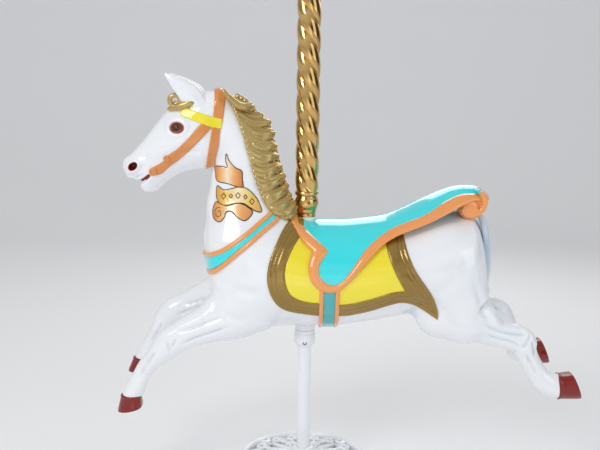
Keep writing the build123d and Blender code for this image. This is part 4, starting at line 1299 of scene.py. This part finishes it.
def border_f(grid):
    """Raised band with two grooves, 10 and 19 mm in from its outer edge."""
    skin = body_at(grid)
    outer, inner = outline_dist(grid, BORDER_OUTER), outline_dist(grid, BORDER_INNER)
    height = (4.6 - 2.0 * np.exp(-((outer + 10.0) / 2.2) ** 2)
              - 2.0 * np.exp(-((outer + 19.0) / 2.2) ** 2))
    field = smax(skin - height, smax(outer, -inner, 1.5), 1.8)
    return clear_pole(on_skin(field, skin), grid, 2.0)


field_piece("saddle_cloth_panel", (-64, -152, 466), (250, 152, 680), cloth_f, MATS["yellow"],
            "saddle_cloth")
field_piece("cloth_border_band", (-106, -154, 428), (334, 154, 690), border_f, MATS["border"],
            "cloth_border")

GIRTH_X = 57.5
GIRTH_HALF = 14.5
GIRTH_BEAD = 19.0               # bead lines either side of the girth's middle


def flatter_below(skin, grid, amount):
    """Sinks a girth piece under the belly."""
    return skin + amount * (1 - np.clip((grid.Z - 402.0) / 16.0, 0, 1))


def girth_f(grid):
    skin = body_at(grid)
    field = smax(flatter_below(skin, grid, 2.6) - 5.8, np.abs(grid.X - GIRTH_X) - GIRTH_HALF, 1.0)
    return on_skin(smax(field, grid.Z - 514, 1.5), skin)


def girth_beads_f(grid):
    skin = body_at(grid)
    across = np.minimum(np.abs(grid.X - (GIRTH_X - GIRTH_BEAD)),
                        np.abs(grid.X - (GIRTH_X + GIRTH_BEAD)))
    field = ellipse_f(across * np.ones_like(skin), flatter_below(skin, grid, 2.4) - 2.0, 5.8, 5.9)
    return smax(field, grid.Z - 516, 1.5)


field_piece("girth_band", (38, -154, 372), (78, 154, 520), girth_f, MATS["teal"],
            "girth")
field_piece("girth_trim_beads", (28, -156, 368), (88, 156, 522), girth_beads_f,
            MATS["orange"], "girth_trim", h=step(2.0))

# Breast strap, x, z: outer edge of the upper bead, strap edges, line of the lower bead
STRAP_OUTER = [(-70, 712), (-92, 690), (-116, 670), (-139, 649), (-170, 627), (-201, 605),
               (-223, 594), (-245, 585), (-275, 578)]
STRAP_TOP = [(-60, 706), (-84, 683), (-111, 662), (-139, 640), (-170, 616), (-200, 597),
             (-222, 586), (-244, 576), (-275, 568)]
STRAP_BOTTOM = [(-52, 702), (-75, 676), (-107, 650), (-138, 625), (-169, 600), (-206, 567),
                (-226, 553), (-242, 544), (-275, 528)]
STRAP_LOWER_BEAD = [(-50, 701), (-71, 674), (-100, 651.5), (-138, 619), (-175, 587),
                    (-211, 555), (-241, 535.5), (-275, 520)]
STRAP_UPPER_BEAD = (np.array(STRAP_OUTER) + np.array(STRAP_TOP)) / 2
STRAP_EDGE = np.concatenate([catmull(STRAP_TOP, 5), catmull(STRAP_BOTTOM[::-1], 5)])


def strap_f(grid):
    skin = body_at(grid)
    return on_skin(smax(skin - 3.6, outline_dist(grid, STRAP_EDGE) - 1.0, 1.5), skin)


def strap_beads_f(grid):
    skin = body_at(grid)
    dist = np.minimum(*(line_dist(grid.X2, grid.Z2, catmull(line, 5))[0]
                        for line in (STRAP_UPPER_BEAD, STRAP_LOWER_BEAD)))
    field = ellipse_f(dist[:, None, :] * np.ones_like(grid.Y), skin - 1.0, 6.0, 5.8)
    return smax(field, grid.X + 66, 2.0)


field_piece("breast_strap_band", (-276, -130, 515), (-60, 130, 705), strap_f,
            MATS["turquoise"], "breast_strap")
field_piece("breast_strap_beads", (-276, -132, 508), (-58, 132, 710), strap_beads_f,
            MATS["orange"], "breast_strap_trim")


# ------------------------------------------------------------------ bridle
def head_at(grid):
    return resample(HEAD, HEAD_GRID, grid)


def head_band(edges, height):
    """Band on the head between two edge lines."""
    outline = np.concatenate([catmull(edge, 5) for edge in edges])

    def shape(grid):
        skin = head_at(grid)
        return on_skin(smax(skin - height, outline_dist(grid, outline), 1.2), skin, 3.0)
    return shape


CROWN_EDGES = (
    [(-236, 1000), (-229, 971), (-229, 950), (-230, 927), (-234, 888), (-242, 840),
     (-250, 800), (-254, 784)],
    [(-228, 800), (-226, 816), (-217, 849), (-213, 886), (-206, 916), (-203, 948),
     (-202, 967), (-206, 1000)])
CHEEK_EDGES = (
    [(-234, 916), (-260, 902), (-289, 868), (-317, 841), (-341, 824), (-355, 808),
     (-377, 795), (-390, 786)],
    [(-386, 771), (-377, 772), (-359, 777), (-339, 795), (-317, 811), (-289, 835),
     (-260, 864), (-235, 891)])
BROW_EDGES = (
    [(-306, 944), (-288, 937), (-266, 930), (-234, 920), (-208, 914)],
    [(-210, 890), (-238, 895), (-266, 905), (-290, 914), (-312, 922)])
BRIDLE_STEP = step(2.0)
field_piece("crown_strap_band", (-262, -66, 776), (-198, 66, 1000), head_band(CROWN_EDGES, 3.2),
            MATS["bridle"], "crown_strap", h=BRIDLE_STEP)
field_piece("cheek_strap_bands", (-398, -68, 764), (-228, 68, 922), head_band(CHEEK_EDGES, 3.6),
            MATS["bridle"], "cheek_straps", h=BRIDLE_STEP)
field_piece("browband_strip", (-312, -66, 884), (-204, 66, 946), head_band(BROW_EDGES, 4.2),
            MATS["yellow"], "browband", h=BRIDLE_STEP)

BIT_KNOBS = ((-380, 782, 10.5), (-345, 815, 8.5))   # x, z, radius


def bit_f(grid):
    skin = head_at(grid)
    out = 50.0
    for x, z, radius in BIT_KNOBS:
        dist = np.hypot(grid.X - x, grid.Z - z)
        knob = smax(dist - radius, skin - 6.2, 2.5)
        ring = np.hypot(dist - radius + 2.5, skin - 5.6) - 1.8
        out = np.minimum(out, smin(knob, ring, 1.0))
    return on_skin(out, skin, 3.0)


field_piece("bit_bosses", (-396, -62, 768), (-332, 62, 828), bit_f, MATS["bridle"],
            "bit_rings", h=step(1.6))


# ------------------------------------------------------------------ carved hair
def strands_f(strands, k, base=None):
    """Tapered strands given as (points, radii), joined with rounding k."""
    chains = []
    for points, radii in strands:
        line = catmull(points, 4)
        radii = np.interp(np.linspace(0, 1, len(line)), np.linspace(0, 1, len(radii)), radii)
        chains.append((line, radii))

    def shape(grid):
        field = np.full(grid.shape, 30.0)
        if base is not None:
            field = np.minimum(field, base(grid))
        for line, radii in chains:
            margin = radii.max()
            box = grid.box(line.min(0) - margin - 6, line.max(0) + margin + 6)
            part = grid.part(box)
            best = np.inf
            for i in range(len(line) - 1):
                x, y, z = part.X - line[i][0], part.Y - line[i][1], part.Z - line[i][2]
                dx, dy, dz = run = line[i + 1] - line[i]
                t = np.clip((x * dx + y * dy + z * dz) / ((run ** 2).sum() + 1e-9), 0, 1)
                dist = np.sqrt((x - t * dx) ** 2 + (y - t * dy) ** 2 + (z - t * dz) ** 2)
                best = np.minimum(best, dist - (radii[i] * (1 - t) + radii[i + 1] * t))
            field[box] = smin(field[box], best, k)
        return field
    return shape


def skin_y(x, z, side=-1):
    """y of the skin at (x, z) on one side, or None off the figure."""
    ys = np.arange(0.0, 150.0, 1.0)
    points = np.stack([np.full_like(ys, x), side * ys, np.full_like(ys, z)], 1)
    inside = np.where(sample(BODY, BODY_GRID, points) < 0)[0]
    return side * ys[inside[-1]] if len(inside) else None


# Mane, x, z: the front line on the neck and the back line of the crest
MANE_FRONT = catmull([
    (-204, 982), (-196, 966), (-178, 934), (-157, 888), (-142, 839), (-127, 780),
    (-108, 728), (-88, 697), (-66, 684)], 10)
MANE_BACK = catmull([
    (-186, 980), (-150, 958), (-124, 926), (-96, 899), (-82, 852), (-73, 815), (-60, 776),
    (-47, 733), (-26, 694)], 10)
MANE_ROWS = 34
MANE_CLUMP = 3                  # strands to a clump


def on_curve(curve, s):
    i = min(max(s, 0.0), 1.0) * (len(curve) - 1)
    i0 = int(min(i, len(curve) - 2))
    return curve[i0] * (1 - (i - i0)) + curve[i0 + 1] * (i - i0)


def near_strand(layer, k, s):
    """Left-side strand at s down the neck; layer 1 lies on top and is thinner."""
    front = on_curve(MANE_FRONT, s)
    row = s * (MANE_ROWS - 1)
    clump = int(row // MANE_CLUMP)
    in_clump = math.sin(math.pi * (row - clump * MANE_CLUMP + 0.5) / MANE_CLUMP)
    own = 0.13 + 0.87 * s ** 0.9
    gathered = 0.13 + 0.87 * min(1.0, (clump * MANE_CLUMP + 1.6) / (MANE_ROWS - 1.0)) ** 0.9
    end = on_curve(MANE_BACK, own + 0.5 * (gathered - own))
    push = 5.0 * in_clump - 1.0
    half = abs(skin_y(front[0], front[1]) or 40.0)
    places = np.linspace(0.0 if layer == 0 else 0.16 + 0.14 * (k % 3), 1.0, 9)
    points, ys = [], []
    for u in places:
        x = front[0] + (end[0] + push - front[0]) * u + 1.6 * math.sin(TAU * u + clump)
        z = (front[1] + (end[1] - front[1]) * u
             - (15.0 - 5.0 * s) * math.sin(math.pi * u ** 0.85)
             + 3.4 * math.sin(TAU * u + 0.7 * clump) * u)
        edge = math.sqrt(max(0.0, 1 - (u * 0.97) ** 3.0))
        y = -(half * edge + 6.5 + 2.6 * in_clump + layer * 3.6)
        skin = skin_y(x, z)
        if skin is not None:
            y = min(y, skin - 4.0 - layer * 3.0)
        points.append((x, z))
        ys.append(y)
    ys = np.convolve(np.pad(ys, 1, mode="edge"), [0.25, 0.5, 0.25], "valid")
    radii = [(6.6 if layer == 0 else 4.4) * (0.62 + 0.60 * math.sin(math.pi * (0.12 + 0.74 * u)))
             for u in places]
    radii[-1] *= 0.8
    return [(x, y, z) for (x, z), y in zip(points, ys)], radii


def far_strand(k, s):
    """Right-side strand: hangs shorter."""
    back, front = on_curve(MANE_BACK, s), on_curve(MANE_FRONT, s)
    points, radii = [], []
    for m in range(6):
        u = m / 5.0
        x = back[0] + (front[0] - back[0]) * (0.58 + 0.08 * math.sin(k * 0.9)) * u
        z = back[1] + (front[1] - back[1]) * 0.62 * u - 12 * math.sin(math.pi * u) - 16 * u
        skin = skin_y(x, z, 1)
        y = (skin if skin is not None else 6.0) + 2.5
        y = max(y, 8 + 30 * math.sin(math.pi * 0.5 * u))
        points.append((x - 3.0, min(y, 52), z - 3.0))
        radii.append(7.2 * (1 - 0.42 * u))
    return points, radii


def mane_strands():
    out = [near_strand(0, k, k / (MANE_ROWS - 1.0)) for k in range(MANE_ROWS)]
    out += [near_strand(1, k, 0.03 + 0.93 * (k / 17.0)) for k in range(18)]
    return out + [far_strand(k, 0.05 + 0.95 * k / 29.0) for k in range(30)]


def mane_base(grid):
    """Solid core under the strands."""
    dist = outline_dist(grid, np.concatenate([MANE_FRONT, MANE_BACK[::-1]]))
    inner = smax(dist + 8.0, np.abs(grid.Y) - 11.0, 8.0)
    near = smax(smax(body_at(grid) - 2.0, dist + 8.0, 3.0), grid.Y - 4, 3.0)
    return np.minimum(inner, near)


mane_f = strands_f(mane_strands(), 1.1, mane_base)
field_piece("mane_locks", (-214, -84, 664), (-14, 62, 1002),
            lambda grid: clear_pole(mane_f(grid), grid, 1.5, 24.6), MATS["gold"],
            "mane", h=HAIR_STEP)


def forelock_strands():
    """Nine locks side by side along the brow, and a curl on the left."""
    out = []
    for k in range(9):
        a = k / 8.0
        out.append(([(-262 + 6 * a, -34 + 60 * a, 960 - 4 * a),
                     (-285, -38 + 66 * a, 952 + 6 * math.sin(k)),
                     (-306, -37 + 70 * a, 944 + 5 * math.sin(k * 1.7)),
                     (-326, -32 + 62 * a, 937 + 3 * math.cos(k)),
                     (-341, -24 + 46 * a, 936 + 2 * math.sin(k * 2.1))],
                    [6, 9.5, 10.5, 8.5, 4.5]))
    # angle, radius, strand radius
    curl = [(4.2, 15, 5), (3.4, 14.5, 6), (2.5, 14, 6), (1.5, 12.5, 5.5), (0.5, 11, 5),
            (-0.4, 9, 4.5), (-1.4, 7, 4), (-2.4, 4.5, 3.5)]
    points = [(-323 + r * math.cos(t), -(36 + 2.0 * math.sin(t)), 957 + r * math.sin(t))
              for t, r, _ in curl]
    out.append((points, [row[2] for row in curl]))
    return out


field_piece("forelock_locks", (-360, -62, 912), (-244, 62, 986),
            strands_f(forelock_strands(), 1.6), MATS["gold"], "forelock",
            h=HAIR_STEP)

# Tail stations: x, extra x in the middle, spread, phase, z, extra z in the middle, radius
TAIL_UNDER = [
    (418, 0, 0.45, 0, 690, 2, 5.0), (437, 0, 0.7, 0.4, 675, 2, 7.4),
    (446, 6, 0.95, 0.9, 640, 0, 8.4), (449, 8, 1.05, 1.8, 598, 0, 8.4),
    (449, 9, 1.0, 2.8, 556, 0, 8.0), (448, 8, 0.92, 3.8, 514, 0, 7.4),
    (448, 4, 0.66, 4.6, 480, 0, 6.4), (447, 0, 0.22, 5.2, 456, 0, 4.0)]
TAIL_OVER = [
    (452, 7, 0.9, 0.2, 632, 0, 2.5), (456, 8, 1.0, 1.3, 590, 0, 4.6),
    (456, 8, 1.0, 2.5, 548, 0, 5.2), (453, 7, 0.85, 3.6, 508, 0, 4.4),
    (450, 4, 0.6, 4.4, 484, 0, 2.2)]


def tail_strands(stations, count, fan, sway, phase_step):
    """Locks fanned across the rump, each swaying a little out of step."""
    out = []
    for k in range(count):
        a = (k / (count - 1.0) - 0.5) * fan
        crown = math.cos(a * 1.35)
        points = [(x + x_more * crown,
                   38 * a * spread + sway * math.sin(phase + phase_step * k) * spread,
                   z + z_more * crown)
                  for x, x_more, spread, phase, z, z_more, _ in stations]
        out.append((points, [row[-1] for row in stations]))
    return out


field_piece("tail_locks", (405, -62, 440), (486, 62, 712),
            strands_f(tail_strands(TAIL_UNDER, count=9, fan=2, sway=4.5, phase_step=0.5)
                      + tail_strands(TAIL_OVER, count=6, fan=1.5, sway=8.0, phase_step=0.9), 1.2),
            MATS["white"], "tail", h=step(1.9),
            shade=lambda verts: np.clip(0.22 + 0.5 * np.abs(verts[:, 1]) / 45.0, 0, 1))

# ------------------------------------------------------------------ neck ribbon, left side
# name, height, material (name, main, end tone, x span in metres), outline x, z
RIBBONS = [
    ("neck_scroll_tail", 1.2, ("ribbon_orange", "F3A24A", "C4552A", -0.232, -0.155), [
        (-199, 829), (-191, 812), (-176, 797), (-160, 789), (-158, 770), (-157, 749),
        (-176, 752), (-198, 758), (-222, 762), (-226, 780), (-228, 797), (-210, 798),
        (-196, 797), (-200, 812)]),
    ("neck_scroll_band", 2.0, ("ribbon_yellow", "F2CE5E", "D98A34", -0.225, -0.108), [
        (-222, 750), (-205, 742), (-186, 745), (-168, 750), (-150, 748), (-132, 735),
        (-118, 716), (-110, 692), (-126, 694), (-140, 703), (-156, 712), (-176, 710),
        (-198, 704), (-220, 716)]),
    ("neck_scroll_curl", 1.5, ("ribbon_cream", "F4B060", "D06A32", -0.235, -0.13), [
        (-222, 712), (-204, 705), (-188, 708), (-166, 712), (-146, 704), (-132, 692),
        (-138, 680), (-151, 671), (-168, 678), (-182, 690), (-196, 690), (-202, 676),
        (-213, 665), (-228, 671), (-232, 686), (-229, 702)])]
LOZENGES = ((-204, 727), (-186, 728), (-168, 730), (-150, 727), (-134, 716))
LOZENGE_POINTS = ((0, 1.3), (0.5, 0.65), (1, 0), (0.5, -0.65), (0, -1.3), (-0.5, -0.65),
                  (-1, 0), (-0.5, 0.65))


def above_skin(x, z, height):
    """Point at this height over the left skin."""
    y = skin_y(x, z)
    return (x, (-20 if y is None else y) - height, z)


def ribbon(name, height, tones, points):
    outline = catmull(points, 4, True)

    def shape(grid):
        skin = body_at(grid)
        return on_skin(smax(skin - height, outline_dist(grid, outline), 0.8), skin, 3.0)
    field_piece(name, (-240, -110, 655), (-100, -8, 836), shape, ribbon_material(*tones),
                "neck_scroll" if name == "neck_scroll_tail" else None,
                h=step(1.5))
    tube(name + "_outline", [above_skin(x, z, height) for x, z in outline], 1.15,
         MATS["black"], closed=True)


for row in RIBBONS:
    ribbon(*row)
tube("neck_scroll_spiral",
     [above_skin(-216 + r * math.cos(t), 686 + r * math.sin(t) * 1.15, 1.9)
      for t, r in zip(np.linspace(1.2, 8.6, 26), np.linspace(11.5, 3.5, 26))],
     0.95, MATS["black"])
for k, (x, z) in enumerate(LOZENGES):
    size = 5.6 if k % 2 == 0 else 4.2
    tube("neck_scroll_lozenge_%d" % k,
         [above_skin(x + dx * size, z + dz * size, 2.4) for dx, dz in LOZENGE_POINTS],
         1.3, MATS["hoof"], closed=True)


# ------------------------------------------------------------------ turned parts on the pole
BRASS_BORE = 21.4
BUSH_BORE = 21.25
SLEEVE_BOTTOM, SLEEVE_TOP = 736.0, 1290.0


def revolve(name, profile, material, replaces, body="horse", sides=96):
    """Turns a closed outline of (radius, z) points about the pole."""
    turns = np.linspace(0, TAU, sides, endpoint=False)
    verts = np.array([(r * math.cos(t), r * math.sin(t), z) for t in turns for r, z in profile])
    faces = [quad[:1] + quad[:0:-1] for quad in torus_quads(sides, len(profile))]
    ob = make_obj(name, verts, faces)
    tidy(ob, weld=True, crease=0.6)
    point_mask(ob, "shade", 0.0)
    finish(ob, material, replaces, body)


def twist_sleeve():
    """Three-start rope twist over a plain bore, flattened towards both ends."""
    rows, around = step((400, 90))
    starts, pitch = 3, 183.0
    root, rise, mean = 23.4, 6.2, 26.5
    end_fade = 10.0
    turns = np.linspace(0, TAU, around, endpoint=False)
    cos, sin = np.cos(turns), np.sin(turns)

    def ring(radius, z):
        return np.stack([radius * cos, radius * sin, np.full(around, z)], 1)
    rings = []
    for z in np.linspace(SLEEVE_BOTTOM, SLEEVE_TOP, rows):
        phase = starts * (turns + TAU * (z - SLEEVE_BOTTOM) / pitch)
        radius = root + rise * np.abs(np.cos(phase / 2)) ** 0.62
        edge = min(1.0, (z - SLEEVE_BOTTOM) / end_fade, (SLEEVE_TOP - z) / end_fade)
        rings.append(ring(mean + (radius - mean) * (0.35 + 0.65 * edge), z))
    rings += [ring(BRASS_BORE, SLEEVE_TOP), ring(BRASS_BORE, SLEEVE_BOTTOM)]
    ob = make_obj("brass_twist_sleeve", np.concatenate(rings), torus_quads(len(rings), around))
    tidy(ob, crease=0.7, level_only=True)
    point_mask(ob, "shade", 0.0)
    finish(ob, MATS["brass"], "brass_sleeve")


def curved(points):
    return [tuple(p) for p in catmull(points, 6)]


twist_sleeve()
revolve("brass_ball_collar",
        [(BRASS_BORE, 671), (23.0, 671), (23.4, 672), (23.0, 679)]
        + curved([(22.8, 680), (24.4, 683), (25.6, 690), (29.0, 698), (30.0, 706), (29.0, 714),
                  (26.8, 720), (25.8, 723)])
        + curved([(26.4, 724), (28.8, 725.5), (30.2, 729), (30.4, 732), (29.0, 735),
                  (26.0, SLEEVE_BOTTOM)])
        + [(BRASS_BORE, SLEEVE_BOTTOM)], MATS["brass"], "brass_collar")
revolve("saddle_bush_ring",
        [(BUSH_BORE, 636), (23.3, 636), (23.3, 660), (24.6, 661), (25.0, 663), (25.0, 668),
         (24.4, 670), (23.4, 670.9), (BUSH_BORE, 670.9)], MATS["nylon"], "saddle_bush")
revolve("collar_body",
        [(18.4, 333), (20.2, 333), (20.6, 333.6), (20.6, 336)]
        + curved([(20.8, 337), (24.4, 338.8), (27.0, 343), (27.9, 349), (27.7, 358),
                  (27.0, 364.5)])
        + [(26.4, 365.6), (25.6, 366), (25.5, 375.2), (24.9, 376), (21.3, 376), (21.3, 358),
           (18.4, 358)], MATS["stand"], "height_collar", body="height_collar")
revolve("belly_sleeve_tube",
        [(BUSH_BORE, 376.6), (24.6, 376.6), (25.2, 377.2), (25.2, 388), (26.0, 390),
         (26.6, 392), (26.6, 396), (25.2, 398), (25.2, 416), (BUSH_BORE, 416)],
        MATS["stand"], "belly_sleeve")

# ------------------------------------------------------------------ base casting
# radius, top z
BASE_TOP = [(0, 58), (17, 58), (25.5, 57.5), (29, 48), (40, 39.5), (66, 35), (110, 31.5),
            (150, 27.5), (157, 28.5), (163, 28.5), (168, 25.5), (171, 19)]
SECTORS = 8
HUB_RADIUS, HUB_BORE = 36.0, 17.0
RIM_RADIUS, RIM_HALF = 163.0, 8.0
WEB_RADIUS, WEB_HALF = 122.0, 2.2
LUG_CIRCLE, LUG_RADIUS = 146, 15.0
LUG_FOOT, LUG_HOLE = 9.5, 5.25
# half width of the leaf along its line
LEAF_WIDTHS = [3.0, 6.0, 7.5, 8.0, 7.5, 6.5, 5.5, 4.5, 3.4, 2.2]


def curl(angle, mirror, distance, start, turn, radius, shrink, count, width, taper):
    """Spiral in from `radius` about a point at this distance and angle from the pole."""
    cos, sin = math.cos(angle), math.sin(angle)
    points, widths = [], []
    for t in np.linspace(0, 1, count):
        q = start * math.pi + t * turn * math.pi
        r = radius * (1 - shrink * t)
        x, y = distance + r * math.cos(q), r * math.sin(q) * mirror
        points.append((x * cos - y * sin, x * sin + y * cos))
        widths.append(width - taper * t)
    return points, widths


def scroll_curves():
    """Centre lines (x, y) and half widths of the scrollwork."""
    out = []
    for k in range(SECTORS):
        middle = TAU * k / SECTORS
        for mirror in (-1, 1):
            # long S from the hub towards the rim
            points, widths = [], []
            for t in np.linspace(0, 1, 16):
                r = 34 + 92 * t
                a = middle + mirror * (0.05 + 0.26 * math.sin(t * math.pi * 0.80))
                points.append((r * math.cos(a), r * math.sin(a)))
                widths.append(5.0 - 1.2 * t)
            out.append((points, widths))
            out.append(curl(middle + mirror * 0.205, mirror, distance=131, start=0.9,
                            turn=-2.05, radius=17.5, shrink=0.62, count=22, width=4.4,
                            taper=1.4))
            out.append(curl(middle + mirror * 0.39, mirror, distance=84, start=-0.5, turn=1.8,
                            radius=12.0, shrink=0.55, count=14, width=3.6, taper=1.0))
        # leaf on the centre line
        leaf = [(r * math.cos(middle), r * math.sin(middle)) for r in np.linspace(52, 116, 10)]
        out.append((leaf, LEAF_WIDTHS))
    return out


def span(coords, lo, hi):
    i = np.where((coords >= lo) & (coords <= hi))[0]
    return slice(i[0], i[-1] + 1)


def base_f(grid):
    """Domed rosette: scrolls, hub, web and rim, with four lugs for the feet."""
    x, y = grid.x[:, None], grid.y[None, :]
    radius = np.hypot(x, y)
    scrolls = np.full(radius.shape, 60.0)
    for points, widths in scroll_curves():
        line = np.array(points)
        lo, hi = line.min(0) - 14, line.max(0) + 14
        box = span(grid.x, lo[0], hi[0]), span(grid.y, lo[1], hi[1])
        dist, along = line_dist(x[box[0]], y[:, box[1]], line)
        dist = dist - read_along(np.array(widths), along)
        scrolls[box] = smin(scrolls[box], dist, 1.5)
    rings = np.minimum(radius - HUB_RADIUS, np.abs(radius - RIM_RADIUS) - RIM_HALF)
    rings = np.minimum(rings, np.abs(radius - WEB_RADIUS) - WEB_HALF)
    lugs = []
    for k in range(4):
        a = math.pi / 4 + k * math.pi / 2
        lug = np.hypot(x - LUG_CIRCLE * math.cos(a), y - LUG_CIRCLE * math.sin(a))
        rings = np.minimum(rings, lug - LUG_RADIUS)
        lugs.append(lug[:, :, None])
    plan = smin(scrolls, rings, 2.5)
    top = column_at(BASE_TOP, 1, radius)
    crown = np.sqrt(np.clip(-plan, 0, 9) / 9.0)     # rounds the tops of the scrolls
    crowned = np.where(radius < HUB_RADIUS, top, top - 5.5 + 7.5 * crown)
    field = smax(grid.Z - crowned[:, :, None], plan[:, :, None], 1.5)
    bottom = np.where(radius > 154, 6.0, top - 9.0)
    bottom = np.where(radius < HUB_RADIUS, 16.0, bottom)
    field = smax(field, bottom[:, :, None] - grid.Z, 1.0)
    for lug in lugs:
        boss = smax(smax(lug - LUG_RADIUS, grid.Z - 27.5, 1.5), 6.0 - grid.Z, 1.0)
        foot = smax(smax(lug - LUG_FOOT, grid.Z - 20.0, 0.6), 0.1 - grid.Z, 0.6)
        field = np.minimum(np.minimum(field, boss), foot)
        field = smax(field, LUG_HOLE - lug, 0.8)
    field = smax(field, HUB_BORE - radius[:, :, None], 0.8)
    return smax(field, radius[:, :, None] - 170.0, 2.0)


field_piece("base_rosette", (-174, -174, -4), (174, 174, 64), base_f, MATS["stand"],
            "base_casting", body="stand", h=step(1.5))

# ------------------------------------------------------------------ CAD pieces that stay
KEEP = {
    "base_feet": "rubber", "lower_pole": "stand", "pole_foot_plug": "alu",
    "retaining_washer": "zinc", "retaining_bolt": "zinc", "hub_grub_screw": "zinc",
    "pole_guide_bush": "nylon", "collar_liner": "nylon", "thrust_washer": "nylon",
    "lock_pad": "brass", "lock_screw": "dark", "upper_pole": "steel",
    "carrying_flange": "steel", "flange_bolts": "zinc", "belly_block": "wood",
    "back_block": "wood", "collar_grub_screw": "zinc", "top_plug": "alu",
    "pole_finial": "brass"}
for name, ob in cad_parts.items():
    if name in KEEP:
        if len(ob.material_slots) == 0:
            ob.data.materials.append(MATS[KEEP[name]])
        for slot in ob.material_slots:
            slot.material = MATS[KEEP[name]]


# ------------------------------------------------------------------ stage, in metres
def floor_material():
    material, sh = new_material("studio_floor")
    cloud = sh.noise(scale=3.0, detail=4.0, rough=0.5)
    sh.feed(Base_Color=sh.mix(sh.calc("MULTIPLY", cloud, 0.25), srgb("F7F7F8"), srgb("EDEEF0")),
            Roughness=0.75)
    return material


def studio_floor():
    """Floor that sweeps up into a wall behind the horse."""
    half_width, sweep_start, sweep = 9, 3.2, 1.6
    profile = [(-6.0, 0.0), (sweep_start, 0.0)]
    profile += [(sweep_start + sweep * math.sin(t), sweep - sweep * math.cos(t))
                for t in np.linspace(0.1, math.pi / 2, 12)]
    profile.append((4.8, 7.0))
    bm = bmesh.new()
    rows = [[bm.verts.new((x, y, z)) for x in np.linspace(-half_width, half_width, 3)]
            for y, z in profile]
    for a, b in zip(rows, rows[1:]):
        for i in range(2):
            bm.faces.new((a[i], a[i + 1], b[i + 1], b[i]))
    mesh = bpy.data.meshes.new("studio_floor")
    bm.to_mesh(mesh)
    bm.free()
    for polygon in mesh.polygons:
        polygon.use_smooth = True
    floor = bpy.data.objects.new("studio_floor", mesh)
    bpy.context.scene.collection.objects.link(floor)
    floor.data.materials.append(floor_material())


def studio_world():
    """Soft sky for light, and a stronger light and dark one for reflections."""
    world = bpy.data.worlds.new("studio")
    world.use_nodes = True
    bpy.context.scene.world = world
    sh = Shader(world.node_tree)
    background = sh.tree.nodes["Background"]
    split = sh.add("ShaderNodeSeparateXYZ")
    sh.put(sh.add("ShaderNodeTexCoord").outputs["Generated"], split.inputs[0])
    x, _, z = split.outputs
    height = sh.calc("MULTIPLY", sh.calc("ADD", z, 1.0), 0.5)
    soft = sh.ramp(height, [(0.0, (0.55, 0.56, 0.58, 1)), (0.48, (0.80, 0.83, 0.87, 1)),
                            (0.56, (0.95, 0.97, 1.0, 1)), (1.0, (1.0, 1.0, 1.0, 1))])
    tilt = sh.calc("ADD", sh.calc("MULTIPLY", x, -0.22), 0.5)
    tilted = sh.calc("ADD", sh.calc("MULTIPLY", z, 0.5), tilt)
    glossy = sh.ramp(tilted, [(0.0, (0.20, 0.13, 0.08, 1)), (0.42, (0.16, 0.11, 0.08, 1)),
                              (0.52, (0.9, 0.93, 0.95, 1)), (0.72, (1.25, 1.28, 1.3, 1)),
                              (0.80, (0.5, 0.5, 0.5, 1)), (1.0, (1.0, 1.0, 1.0, 1))])
    is_glossy = sh.add("ShaderNodeLightPath").outputs["Is Glossy Ray"]
    sh.put(sh.mix(is_glossy, soft, glossy), background.inputs[0])
    background.inputs[1].default_value = 0.56


def area_light(name, place, target, size, power, color=(1, 1, 1)):
    light = bpy.data.lights.new(name, "AREA")
    light.energy = power
    light.size = size
    light.shape = "SQUARE"
    light.color = color
    ob = bpy.data.objects.new(name, light)
    bpy.context.scene.collection.objects.link(ob)
    ob.location = place
    ob.rotation_euler = (Vector(target) - Vector(place)).to_track_quat("-Z", "Y").to_euler()


def studio_camera():
    """Looks along +Y, pitched down and rolled a little."""
    pitch, roll = math.radians(9.3), math.radians(0.75)
    data = bpy.data.cameras.new("camera")
    data.lens = 51.6
    data.sensor_width = 36.0
    camera = bpy.data.objects.new("camera", data)
    bpy.context.scene.collection.objects.link(camera)
    camera.location = (-0.016, -2.15, 1.0)
    forward = Vector((0, math.cos(pitch), -math.sin(pitch)))
    level = Vector((1, 0, 0))
    up = level.cross(forward) * math.cos(roll) - level * math.sin(roll)
    right = forward.cross(up)
    turn = Matrix((right, up, -forward)).transposed().to_4x4()
    camera.matrix_world = Matrix.Translation(camera.location) @ turn
    bpy.context.scene.camera = camera


studio_floor()
studio_world()
area_light("key", (-1.9, -2.3, 2.7), (0, 0, 0.6), size=1.5, power=40)
area_light("fill", (2.4, -2.0, 1.3), (0.1, 0, 0.55), size=1.8, power=12, color=(0.82, 0.91, 1.0))
area_light("rim", (0.6, 2.2, 2.2), (0, 0, 0.7), size=1.6, power=18)
area_light("low", (-0.3, -2.4, 0.25), (0, 0, 0.6), size=1.2, power=3, color=(0.9, 0.95, 1.0))
studio_camera()
try:
    bpy.context.scene.view_settings.view_transform = "Standard"
except TypeError:
    pass    # guards against a colour configuration without this view
